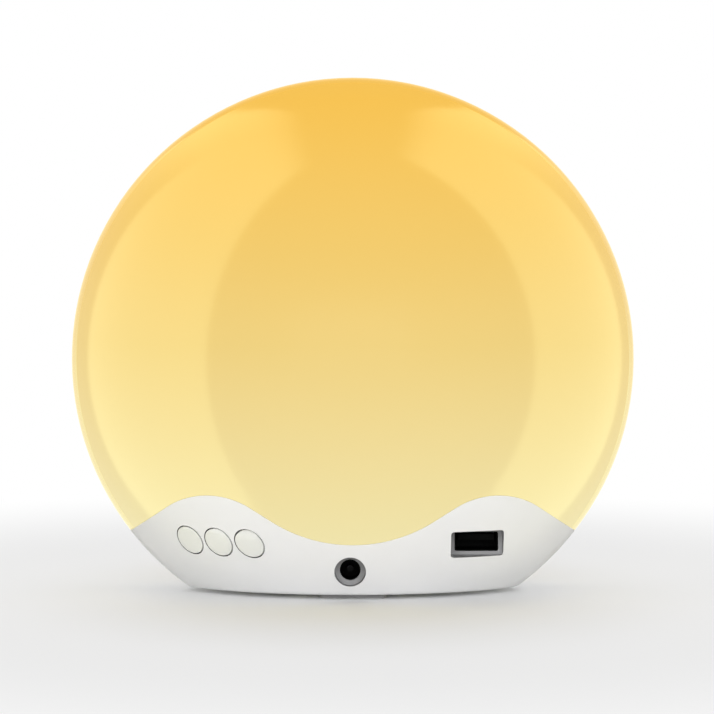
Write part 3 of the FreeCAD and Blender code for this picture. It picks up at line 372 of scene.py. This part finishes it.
def paint_opening_shade(material, sizes, tones):
    """On the base's rear, painted shade: the walls of the two socket recesses painted the grey of the
    sockets' linings, and the bores round the keys painted dark.
    """
    tree = material.node_tree
    base_colour = tree.nodes["Principled BSDF"].inputs["Base Color"]
    tone = base_colour.links[0].from_socket
    place = tree.nodes.new("ShaderNodeTexCoord").outputs["Object"]
    rear = map_range(tree, axes(tree)["Y"], 0.0, 0.001, 0.0, 1.0)
    edge = 0.00002
    round_inlet = (sizes.inlet_radius, sizes.inlet_radius)
    # Painted shade: the base's white recess walls round each socket take the linings' grey.
    for (across, up), (half_width, half_height), corner in (
            (sizes.charge_place, sizes.charge_half, sizes.charge_corner),
            (sizes.inlet_place, round_inlet, sizes.inlet_radius)):
        mask = place_group(tree, "window", Across=across, Up=up, Half_width=half_width,
                           Half_height=half_height, Corner=corner, Soft_edge=edge)["Mask"]
        tone = mix_colour(tree, math_node(tree, "MULTIPLY", mask, rear), tone, tones.bezel_grey)
    # Painted shade: the bore round each key painted dark, where the gap between key and base lies in shadow.
    for key_place in key_places(sizes):
        away = vector_node(tree, "SUBTRACT", place, key_place)
        reach = vector_node(tree, "LENGTH", vector_node(tree, "CROSS_PRODUCT", away, KEY_OUTWARD))
        inside = map_range(tree, reach, sizes.bore_radius, sizes.bore_radius + edge, 1.0, 0.0)
        tone = mix_colour(tree, math_node(tree, "MULTIPLY", inside, rear), tone, tones.bore_shade)
    tree.links.new(tone, base_colour)


def lit_time(tree, light, tone, centre_height):
    """The display's figures, half past six, showing through the shade."""
    half_across, half_up, reach, stroke = 0.00375, 0.0075, 0.0029, 0.00095
    colon_across, colon_up = -0.00675, 0.0032

    # Each bar of a seven-bar figure: its side, its height and whether it lies level
    bars = {"a": (0, 1, True), "g": (0, 0, True), "d": (0, -1, True), "f": (-1, 0.5, False),
            "b": (1, 0.5, False), "e": (-1, -0.5, False), "c": (1, -0.5, False)}
    marks = [(colon_across, side * colon_up, stroke, stroke) for side in (-1, 1)]
    for across, lit in ((-0.0165, "afgecd"), (0.003, "abgcd"), (0.0165, "abcdef")):
        for bar in lit:
            side, up, level = bars[bar]
            size = (reach, stroke) if level else (stroke, reach)
            marks.append((across + side * half_across, up * half_up, *size))
    whole = 0.0
    for across, up, half_width, half_height in marks:
        mask = place_group(tree, "window", Across=across, Up=centre_height + up, Half_width=half_width,
                           Half_height=half_height, Corner=0.0007, Soft_edge=0.0005)["Mask"]
        whole = math_node(tree, "MAXIMUM", mask, whole)
    return mix_colour(tree, math_node(tree, "MULTIPLY", whole, 0.85), light, tone)


def front_light(tree, light, tones, centre_height):
    """On the front half, a paler edge low down and the lit figures."""
    place = axes(tree)
    near_seam = map_range(tree, place["Y"], -0.012, -0.006, 0.0, 0.8, True)
    low_down = map_range(tree, place["Z"], 0.062, 0.095, 1.0, 0.0, True)
    light = mix_colour(tree, math_node(tree, "MULTIPLY", near_seam, low_down), light, tones.glow_rim)
    return lit_time(tree, light, tones.figures, centre_height)


def glowing(name, tones, front_height=None):
    """Translucent plastic with the lamp on behind it: its own light, deeper in colour towards the top."""
    material, tree, shader = new_material(name)
    light = place_group(tree, "rise", Low=tones.glow_low, Middle=tones.glow_middle, High=tones.glow_top,
                        Low_at=0.016, Middle_at=0.078, High_at=0.152)["Colour"]
    if front_height:
        light = front_light(tree, light, tones, front_height)
    own_share = 0.86
    tree.links.new(mix_colour(tree, own_share, light, BLACK), shader.inputs["Base Color"])
    tree.links.new(light, shader.inputs["Emission Color"])
    shader.inputs["Emission Strength"].default_value = tones.glow_strength
    add_finish(tree, shader, place_group(tree, "grain", Scale=1800.0, Low=0.1, High=0.15), 0.02, 0.00005)
    return material


def give(material, *names):
    """Gives CAD nodes one material."""
    for name in names:
        mesh = NODES[name].data
        mesh.materials.clear()
        mesh.materials.append(material)


# Floor, room and lamps

def ray_kinds(tree):
    """Masks of the camera's rays, and of those together with reflected rays."""
    path = tree.nodes.new("ShaderNodeLightPath")
    direct = path.outputs["Is Camera Ray"]
    return direct, math_node(tree, "MAXIMUM", direct, path.outputs["Is Glossy Ray"])


def floor_paper(tone):
    """Pale paper under the clock, painted darker round it, which turns into a white backdrop away from it."""
    material, tree, shader = new_material("floor_paper")
    feed(tree, shader.inputs["Base Color"], tone)
    shader.inputs["Roughness"].default_value = 0.9
    shader.inputs["Specular IOR Level"].default_value = 0.1
    place = axes(tree)
    # Painted shade: for the camera the paper blends into an even glow, 0.87 out to 0.2 m and brightening to
    # white by 0.45 m, over an oval longer in depth than across: a painted darkening round the clock.
    across = math_node(tree, "MULTIPLY", place["X"], 1.5)
    squares = [math_node(tree, "POWER", value, 2.0) for value in (across, place["Y"])]
    away = math_node(tree, "SQRT", math_node(tree, "ADD", *squares))
    near = map_range(tree, away, 0.03, 0.18, 0.0, 0.8, True)
    far = map_range(tree, away, 0.18, 0.45, 0.0, 0.2)
    fade = math_node(tree, "MULTIPLY", math_node(tree, "ADD", near, far), ray_kinds(tree)[1])
    white = tree.nodes.new("ShaderNodeEmission")
    tree.links.new(map_range(tree, away, 0.2, 0.45, 0.87, 1.0, True), white.inputs["Strength"])
    mix_shaders(tree, fade, shader.outputs[0], white.outputs[0], "Material Output")
    return material


def studio_world(room_light):
    """Even light, with a white backdrop that reflections see darker overhead."""
    world = bpy.data.worlds.new("studio")
    world.use_nodes = True
    tree = world.node_tree
    room = tree.nodes["Background"]
    backdrop = tree.nodes.new("ShaderNodeBackground")
    for background in (room, backdrop):
        feed(tree, background.inputs["Color"], WHITE)
    room.inputs["Strength"].default_value = room_light
    direct, seen = ray_kinds(tree)
    overhead = map_range(tree, axes(tree, output="Generated")["Z"], 0.1, 0.7, 0.6, 0.15, True)
    tree.links.new(math_node(tree, "MAXIMUM", overhead, direct), backdrop.inputs["Strength"])
    mix_shaders(tree, seen, room.outputs[0], backdrop.outputs[0], "World Output")
    return world


def soften_lamp(lamp, rear):
    """Fades a tall panel towards its upper end and its display side, or, on the rear pair, both ends."""
    lamp.use_nodes = True
    tree = lamp.node_tree
    place = axes(tree, "ShaderNodeNewGeometry", "Position")
    upper = map_range(tree, place["Z"], 2.2, 5.0, 1.0, 0.0, True)
    if rear:
        other = map_range(tree, place["Z"], 0.35, 1.6, 0.0, 1.0, True)
    else:
        other = map_range(tree, place["Y"], -0.7, 0.5, 0.72, 1.0)
    tree.links.new(math_node(tree, "MULTIPLY", upper, other), tree.nodes["Emission"].inputs["Strength"])


def hang_lamp(name, place, facing, width, tall, radiance, reflected):
    """An area lamp that only shows as a reflection, or else only lights what it faces."""
    lamp = bpy.data.lights.new(name, "AREA")
    lamp.shape = "RECTANGLE"
    lamp.size = width
    lamp.size_y = tall
    lamp.energy = radiance * math.pi * width * tall
    if reflected:
        lamp.color = (1.0, 1.0, 0.5)
        soften_lamp(lamp, "rear" in name)
    holder = bpy.data.objects.new(name, lamp)
    bpy.context.scene.collection.objects.link(holder)
    holder.location = place
    holder.rotation_euler = Vector(facing).to_track_quat("-Z", "Y").to_euler()
    holder.visible_diffuse = not reflected
    holder.visible_glossy = reflected
    holder.visible_camera = False


# Modelling helpers

def start_clean():
    """Object mode with nothing selected."""
    if bpy.context.mode != "OBJECT":
        bpy.ops.object.mode_set(mode="OBJECT")
    bpy.ops.object.select_all(action="DESELECT")


def pick(piece, *others):
    """Selects pieces, with the first one active."""
    start_clean()
    for each in (piece, *others):
        each.select_set(True)
    bpy.context.view_layer.objects.active = piece


def start_piece(name, add, stretch=(1, 1, 1), **settings):
    """Adds a primitive at its size and place, and opens it in edit mode."""
    start_clean()
    add(**settings)
    piece = bpy.context.object
    piece.name = name
    bpy.ops.transform.resize(value=stretch)
    bpy.ops.object.transform_apply(location=True, rotation=True, scale=True)
    bpy.ops.object.mode_set(mode="EDIT")
    return piece


def select_faces(piece, test):
    """In edit mode, selects the faces whose normal passes a test."""
    bpy.ops.mesh.select_mode(type="FACE")
    bpy.ops.mesh.select_all(action="DESELECT")
    mesh = bmesh.from_edit_mesh(piece.data)
    for face in mesh.faces:
        face.select_set(bool(test(face.normal)))
    bmesh.update_edit_mesh(piece.data)


def select_edges(piece, test):
    """In edit mode, selects the edges whose two ends pass a test."""
    bpy.ops.mesh.select_mode(type="EDGE")
    bpy.ops.mesh.select_all(action="DESELECT")
    mesh = bmesh.from_edit_mesh(piece.data)
    for edge in mesh.edges:
        edge.select_set(bool(test(edge.verts[0].co, edge.verts[1].co)))
    bmesh.update_edit_mesh(piece.data)


def extrude(across, depth, up):
    bpy.ops.mesh.extrude_region_move(TRANSFORM_OT_translate={"value": (across, depth, up)})


def apply_modifier(piece, kind, **settings):
    pick(piece)
    modifier = piece.modifiers.new(kind.lower(), kind)
    for label, setting in settings.items():
        setattr(modifier, label, setting)
    bpy.ops.object.modifier_apply(modifier=modifier.name)


def cut(piece, operation, tool):
    apply_modifier(piece, "BOOLEAN", operation=operation, solver="EXACT", object=tool)


def round_edges(piece, width, segments):
    """Rounds the edges that turn by more than 50 degrees."""
    apply_modifier(piece, "BEVEL", width=width, segments=segments, limit_method="ANGLE",
                   angle_limit=math.radians(50))


def copy_piece(piece, name, move=(0, 0, 0)):
    """A copy with its own mesh, moved."""
    twin = piece.copy()
    twin.data = piece.data.copy()
    twin.name = twin.data.name = name
    bpy.context.scene.collection.objects.link(twin)
    pick(twin)
    bpy.ops.transform.translate(value=move)
    return twin


def join_pieces(name, pieces):
    pick(*pieces)
    if len(pieces) > 1:
        bpy.ops.object.join()
    whole = bpy.context.object
    whole.name = whole.data.name = name
    return whole


def finish_piece(piece, material, body, slot, *nodes):
    """Places the piece in its mesh, shades it smooth between sharp edges, and hands it over."""
    pick(piece)
    bpy.ops.object.transform_apply(location=True, rotation=True, scale=True)
    bpy.ops.object.mode_set(mode="EDIT")
    bpy.ops.mesh.select_all(action="SELECT")
    bpy.ops.mesh.remove_doubles(threshold=0.000001)
    bpy.ops.mesh.normals_make_consistent(inside=False)
    bpy.ops.object.mode_set(mode="OBJECT")
    bpy.ops.object.shade_smooth_by_angle(angle=math.radians(35))
    piece.data.materials.clear()
    piece.data.materials.append(material)
    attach(piece, body)
    if nodes:
        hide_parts(*nodes)


def key_places(sizes):
    """Where the three keys meet the base's surface, key 1 first."""
    return [Vector(sizes.key_place) + KEY_ROW * sizes.key_pitch * step for step in (1, 0, -1)]


def screw_blank(head_radius, head, radius, shank):
    """A pan-head screw with a cross recess, head down, standing on z = 0."""
    screw = start_piece("screw_blank", bpy.ops.mesh.primitive_cylinder_add, vertices=40, radius=head_radius,
                        depth=head, location=(0, 0, head / 2))
    select_faces(screw, lambda normal: normal.z > 0.9)
    bpy.ops.mesh.inset(thickness=head_radius - radius)
    extrude(0, 0, shank - radius)
    extrude(0, 0, radius)
    bpy.ops.transform.resize(value=(0.35, 0.35, 1.0))
    select_edges(screw, lambda a, b: max(a.z, b.z) < 1e-6)
    bpy.ops.mesh.bevel(offset=0.3 * head, segments=4, affect="EDGES")
    bpy.ops.object.mode_set(mode="OBJECT")
    long_side, short_side = 1.25 * head_radius, 0.26 * head_radius
    for width, depth in ((long_side, short_side), (short_side, long_side)):
        start_clean()
        bpy.ops.mesh.primitive_cube_add(size=1, location=(0, 0, 0))
        bar = bpy.context.object
        bpy.ops.transform.resize(value=(width, depth, head))
        apply_modifier(bar, "BEVEL", width=0.05 * head_radius, segments=2)
        cut(screw, "DIFFERENCE", bar)
        bpy.data.objects.remove(bar)
    return screw


# Operators

class CLOCK_OT_make_stage(bpy.types.Operator):
    """Floor, backdrop, lamps and the camera at the photograph's angle"""
    bl_idname = "clock.make_stage"
    bl_label = "Stage"

    def execute(self, context):
        stage = context.scene.clock_stage
        scene = context.scene
        scene.view_settings.view_transform = "Standard"

        start_clean()
        bpy.ops.mesh.primitive_plane_add(size=2 * stage.floor_reach, location=(0, 0, 0))
        floor = context.object
        floor.name = "floor"
        floor.data.materials.append(floor_paper(stage.floor_tone))
        floor.visible_glossy = False
        scene.world = studio_world(stage.room_light)

        # Name, place, direction, width, height and radiance, first of the panels that the shade reflects
        for lamp in (("left_softbox", (1.0, 0.025, 1.7), (-1, 0, 0), 1.25, 6.6, 2.0),
                     ("right_softbox", (-1.0, -0.19, 1.7), (1, 0, 0), 1.0, 6.6, 2.0),
                     ("left_rear_softbox", (1.0, -1.2, 2.9), (-1, 0, 0), 1.2, 5.2, 1.4),
                     ("right_rear_softbox", (-1.0, -1.29, 2.9), (1, 0, 0), 1.2, 5.2, 1.4)):
            hang_lamp(*lamp, reflected=True)
        for lamp in (("front_fill", (0.0, 1.9, 0.42), (0, -1, -0.1), 1.6, 0.8, 7.8),
                     ("display_fill", (0.0, -1.9, 0.42), (0, 1, -0.1), 1.6, 0.8, 6.0),
                     ("top_fill", (0.0, 0.0, 1.6), (0, 0, -1), 1.6, 1.6, 0.9)):
            hang_lamp(*lamp, reflected=False)

        camera = bpy.data.cameras.new("camera")
        camera.lens = stage.lens
        camera.shift_x, camera.shift_y = stage.shift
        camera.clip_start = 0.05
        camera.clip_end = 20.0
        holder = bpy.data.objects.new("camera", camera)
        scene.collection.objects.link(holder)
        back = Vector((0, math.cos(stage.elevation), math.sin(stage.elevation)))
        holder.location = Vector((0, 0, scene.clock_sizes.centre_height)) + stage.distance * back
        holder.rotation_euler = (-back).to_track_quat("-Z", "Y").to_euler()
        scene.camera = holder
        return {"FINISHED"}


class CLOCK_OT_make_shade(bpy.types.Operator):
    """The two halves of the glowing shade"""
    bl_idname = "clock.make_shade"
    bl_label = "Shade"

    def execute(self, context):
        tones = context.scene.clock_colours
        rear = glowing("shade_lit", tones)
        front = glowing("shade_lit_front", tones, context.scene.clock_sizes.centre_height)
        for node, name, material in (
                ("rear_shade", "shade_rear", rear), ("front_shade", "shade_front", front)):
            half = copy_piece(NODES[node], name)
            if half.data.has_custom_normals:
                bpy.ops.mesh.customdata_custom_splitnormals_clear()
            finish_piece(half, material, "clock", "shade_plastic", node)
        return {"FINISHED"}


class CLOCK_OT_make_base(bpy.types.Operator):
    """The wave-topped base, its bottom plate and the battery door"""
    bl_idname = "clock.make_base"
    bl_label = "Base"

    def execute(self, context):
        tones = context.scene.clock_colours
        second = darker(tones.base_white, 0.985)
        white = moulded("base_white", tones.base_white, second, 0.3, 0.36,
                        scale=4000.0, bump=0.008, gloss=0.3)
        paint_opening_shade(white, context.scene.clock_sizes, tones)
        give(white, "base_housing")
        plate = moulded("plate_white", tones.base_white, second, 0.36, 0.44,
                        scale=4000.0, bump=0.02, gloss=0.3)
        give(plate, "bottom_plate", "battery_door")
        return {"FINISHED"}


class CLOCK_OT_make_keys(bpy.types.Operator):
    """The three keys, whose faces follow the rear dome"""
    bl_idname = "clock.make_keys"
    bl_label = "Keys"

    def execute(self, context):
        tones = context.scene.clock_colours
        sizes = context.scene.clock_sizes
        white = moulded("key_white", tones.key_white, darker(tones.key_white, 0.985), 0.3, 0.36,
                        scale=4000.0, bump=0.01)

        # One blank, its line of travel along z, its flange at the bottom, and too tall by the spare length
        spare = 0.002
        blank = start_piece("key_blank", bpy.ops.mesh.primitive_cylinder_add, vertices=72,
                            radius=sizes.key_radius + sizes.flange_reach, depth=sizes.flange_wall,
                            location=(0, 0, -sizes.key_depth - sizes.flange_wall / 2))
        select_faces(blank, lambda normal: normal.z > 0.9)
        bpy.ops.mesh.inset(thickness=sizes.flange_reach)
        extrude(0, 0, sizes.key_depth + spare)

        start_clean()
        bpy.ops.mesh.primitive_uv_sphere_add(
            segments=240, ring_count=120, radius=sizes.rear_radius + sizes.key_proud,
            location=(0, sizes.rear_depth, sizes.centre_height))
        dome = context.object
        key_turn = Matrix((KEY_ROW, KEY_OUTWARD.cross(KEY_ROW), KEY_OUTWARD)).transposed().to_4x4()
        for number, place in enumerate(key_places(sizes), 1):
            cap = copy_piece(blank, f"key_cap_{number}")
            cap.matrix_world = Matrix.Translation(place) @ key_turn
            pick(cap)
            bpy.ops.object.transform_apply(location=True, rotation=True, scale=True)
            cut(cap, "INTERSECT", dome)
            round_edges(cap, sizes.key_edge, 3)
            finish_piece(cap, white, f"key_{number}", "key_plastic", f"button_cap_{number}")
        bpy.data.objects.remove(blank)
        bpy.data.objects.remove(dome)
        return {"FINISHED"}


class CLOCK_OT_make_sockets(bpy.types.Operator):
    """The power inlet and the charging socket with its four contacts"""
    bl_idname = "clock.make_sockets"
    bl_label = "Sockets"

    def execute(self, context):
        tones = context.scene.clock_colours
        sizes = context.scene.clock_sizes
        give(moulded("bezel_grey", tones.bezel_grey, darker(tones.bezel_grey, 0.9), 0.45, 0.6),
             "charge_bezel", "inlet_bezel")
        # Painted shade: the charging socket's metal shell, its tongue and the inlet's body made near black,
        # darker than their own finish, for the dark deep in the sockets; the inlet's pin too is steel made
        # near black.
        give(moulded("socket_black", tones.socket_black, FAINT_GREY, 0.5, 0.7, gloss=0.1),
             "charge_tongue", "charge_shell", "inlet_jack")
        give(moulded("dark_steel", (0.02, 0.02, 0.02), (0.015, 0.015, 0.015), 0.35, 0.5, metallic=1.0),
             "inlet_pin")

        # One contact strip with a narrower, raised tip, then the four in a row
        gilt = moulded("contact_gilt", (0.75, 0.58, 0.28), (0.66, 0.5, 0.24), 0.18, 0.3, metallic=1.0)
        strip = start_piece("contact", bpy.ops.mesh.primitive_cube_add, sizes.contact_size,
                            size=1, location=(sizes.charge_place[0], 0.0012, 0.01733))
        select_faces(strip, lambda normal: normal.y > 0.9)
        extrude(0, 0.0008, 0.00012)
        bpy.ops.transform.resize(value=(0.7, 1.0, 0.6))
        bpy.ops.object.mode_set(mode="OBJECT")
        apply_modifier(strip, "BEVEL", width=0.00004, segments=2)
        strips = [copy_piece(strip, f"contact_{number}", (across, 0, 0))
                  for number, across in enumerate((-0.0035, -0.001, 0.001, 0.0035))]
        bpy.data.objects.remove(strip)
        finish_piece(join_pieces("charge_contacts", strips), gilt, "clock", "pin_metal")
        return {"FINISHED"}


class CLOCK_OT_make_feet(bpy.types.Operator):
    """The three rubber feet, each with a rounded rim and a shallow field"""
    bl_idname = "clock.make_feet"
    bl_label = "Feet"

    def execute(self, context):
        sizes = context.scene.clock_sizes
        tones = context.scene.clock_colours
        rubber = moulded("foot_rubber", tones.foot_grey, darker(tones.foot_grey, 0.85), 0.7, 0.9)
        front_across = 0.014
        feet = []
        for name, across, depth, width, deep, corner in (
                ("foot_rear", 0.0, 0.0086, 0.020, 0.0048, 0.0015),
                ("foot_left", front_across, -0.0331, 0.012, 0.003, 0.0012)):
            foot = start_piece(name, bpy.ops.mesh.primitive_cube_add, (width, deep, sizes.foot_height),
                               size=1, location=(across, depth, sizes.foot_height / 2))
            select_edges(foot, lambda a, b: abs(a.z - b.z) > 0.9 * sizes.foot_height)
            bpy.ops.mesh.bevel(offset=corner, segments=6, affect="EDGES")
            select_faces(foot, lambda normal: normal.z < -0.9)
            bpy.ops.mesh.inset(thickness=sizes.foot_border)
            bpy.ops.mesh.inset(thickness=0.0001)
            bpy.ops.transform.translate(value=(0, 0, sizes.foot_hollow))
            bpy.ops.object.mode_set(mode="OBJECT")
            round_edges(foot, 0.00012, 2)
            feet.append(foot)
        rear, left = feet
        right = copy_piece(left, "foot_right", (-2 * front_across, 0, 0))
        finish_piece(rear, rubber, "clock", "foot_rubber", "rear_foot")
        finish_piece(join_pieces("feet_front", [left, right]), rubber, "clock", "foot_rubber", "front_feet")
        return {"FINISHED"}


class CLOCK_OT_make_screws(bpy.types.Operator):
    """The screws of the base, the bottom plate and the battery door, and the finish of those inside"""
    bl_idname = "clock.make_screws"
    bl_label = "Screws"

    def execute(self, context):
        sizes = context.scene.clock_sizes
        zinc = moulded("screw_zinc", (0.5, 0.5, 0.5), (0.42, 0.42, 0.43), 0.25, 0.45,
                       metallic=1.0, drawn=True)
        give(zinc, "board_screws", "charge_screws", "frame_screws")
        base_places = [(side * across, depth) for side in (-1, 1)
                       for across, depth in ((0.047, -0.015), (0.017, 0.007))]
        plate_places = [(-0.0336, -0.013), (0.0336, -0.013)]

        # Name, places across and in depth, height of the head over the floor, shank, CAD node and body
        for name, places, low, shank, node, body in (
                ("underside_screws", base_places, 0.00155, 0.0095, "base_screws", "clock"),
                ("plate_fixings", plate_places, 0.0013, 0.0033, "plate_screws", "clock"),
                ("door_fixing", [(0.0266, -0.013)], 0.0004, 0.0017, "door_screw", "door")):
            blank = screw_blank(sizes.screw_head_radius, sizes.screw_head, sizes.screw_radius, shank)
            screws = [copy_piece(blank, f"{name}_{number}", (*place, low))
                      for number, place in enumerate(places)]
            bpy.data.objects.remove(blank)
            finish_piece(join_pieces(name, screws), zinc, body, "screw_steel", node)
        return {"FINISHED"}


class CLOCK_OT_finish_inside(bpy.types.Operator):
    """Finishes of the pieces inside"""
    bl_idname = "clock.finish_inside"
    bl_label = "Inside"

    def execute(self, context):
        boards = ("main_board", "charge_board", "key_board", "touch_board", "display_board")
        springs = ("cell_clip", "touch_springs")
        give(moulded("part_black", context.scene.clock_colours.socket_black, FAINT_GREY, 0.5, 0.7, gloss=0.1),
             "switch_plunger_1", "switch_plunger_2", "switch_plunger_3", "key_switches", "board_parts",
             "digit_block", "display_hood")

        # Name, two colours, lowest and highest roughness, metallic or not, and the CAD nodes
        for name, main, second, low, high, metallic, nodes in (
                ("inner_white", (0.85, 0.85, 0.84), (0.8, 0.8, 0.79), 0.5, 0.7, 0.0,
                 ("light_deck", "inner_frame")),
                ("board_green", (0.02, 0.16, 0.06), (0.015, 0.12, 0.05), 0.3, 0.45, 0.0, boards),
                ("board_white", (0.85, 0.85, 0.85), (0.8, 0.8, 0.8), 0.4, 0.5, 0.0, ("lamp_board",)),
                ("phosphor", (0.9, 0.75, 0.2), (0.85, 0.65, 0.15), 0.3, 0.5, 0.0, ("lamp_lights",)),
                ("cone_paper", (0.03, 0.03, 0.03), (0.05, 0.05, 0.05), 0.7, 0.9, 0.0, ("speaker_cone",)),
                ("ferrite", (0.04, 0.04, 0.045), (0.06, 0.06, 0.06), 0.5, 0.8, 0.0, ("speaker_magnet",)),
                ("ribbon_grey", (0.4, 0.4, 0.42), (0.35, 0.35, 0.37), 0.4, 0.5, 0.0, ("lamp_ribbon",)),
                ("plated_brass", (0.7, 0.55, 0.3), (0.6, 0.48, 0.26), 0.2, 0.35, 1.0, springs)):
            give(moulded(name, main, second, low, high, metallic=metallic), *nodes)
        steel = moulded("drawn_steel", (0.55, 0.55, 0.56), (0.48, 0.48, 0.49), 0.2, 0.35,
                        metallic=1.0, drawn=True)
        give(steel, "speaker_frame", "coin_cell")
        return {"FINISHED"}


class CLOCK_PT_panel(bpy.types.Panel):
    """Lists the makers of the clock's pieces"""
    bl_idname = "CLOCK_PT_panel"
    bl_label = "Sunrise Clock"
    bl_space_type = "VIEW_3D"
    bl_region_type = "UI"
    bl_category = "Sunrise Clock"

    def draw(self, context):
        for maker in MAKERS:
            self.layout.operator(maker.bl_idname)
        for group in (context.scene.clock_sizes, context.scene.clock_colours, context.scene.clock_stage):
            column = self.layout.column()
            for name in group.__annotations__:
                column.prop(group, name)


MAKERS = (CLOCK_OT_make_stage, CLOCK_OT_make_shade, CLOCK_OT_make_base, CLOCK_OT_make_keys,
          CLOCK_OT_make_sockets, CLOCK_OT_make_feet, CLOCK_OT_make_screws, CLOCK_OT_finish_inside)
CLASSES = (ClockSizes, ClockColours, ClockStage, *MAKERS, CLOCK_PT_panel)


def register():
    for each in CLASSES:
        bpy.utils.register_class(each)
    bpy.types.Scene.clock_sizes = PointerProperty(type=ClockSizes)
    bpy.types.Scene.clock_colours = PointerProperty(type=ClockColours)
    bpy.types.Scene.clock_stage = PointerProperty(type=ClockStage)


def unregister():
    del bpy.types.Scene.clock_sizes
    del bpy.types.Scene.clock_colours
    del bpy.types.Scene.clock_stage
    for each in reversed(CLASSES):
        bpy.utils.unregister_class(each)


def main():
    register()
    start_clean()
    for maker in MAKERS:
        family, name = maker.bl_idname.split(".")
        getattr(getattr(bpy.ops, family), name)()
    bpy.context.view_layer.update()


if __name__ == "__main__":
    main()
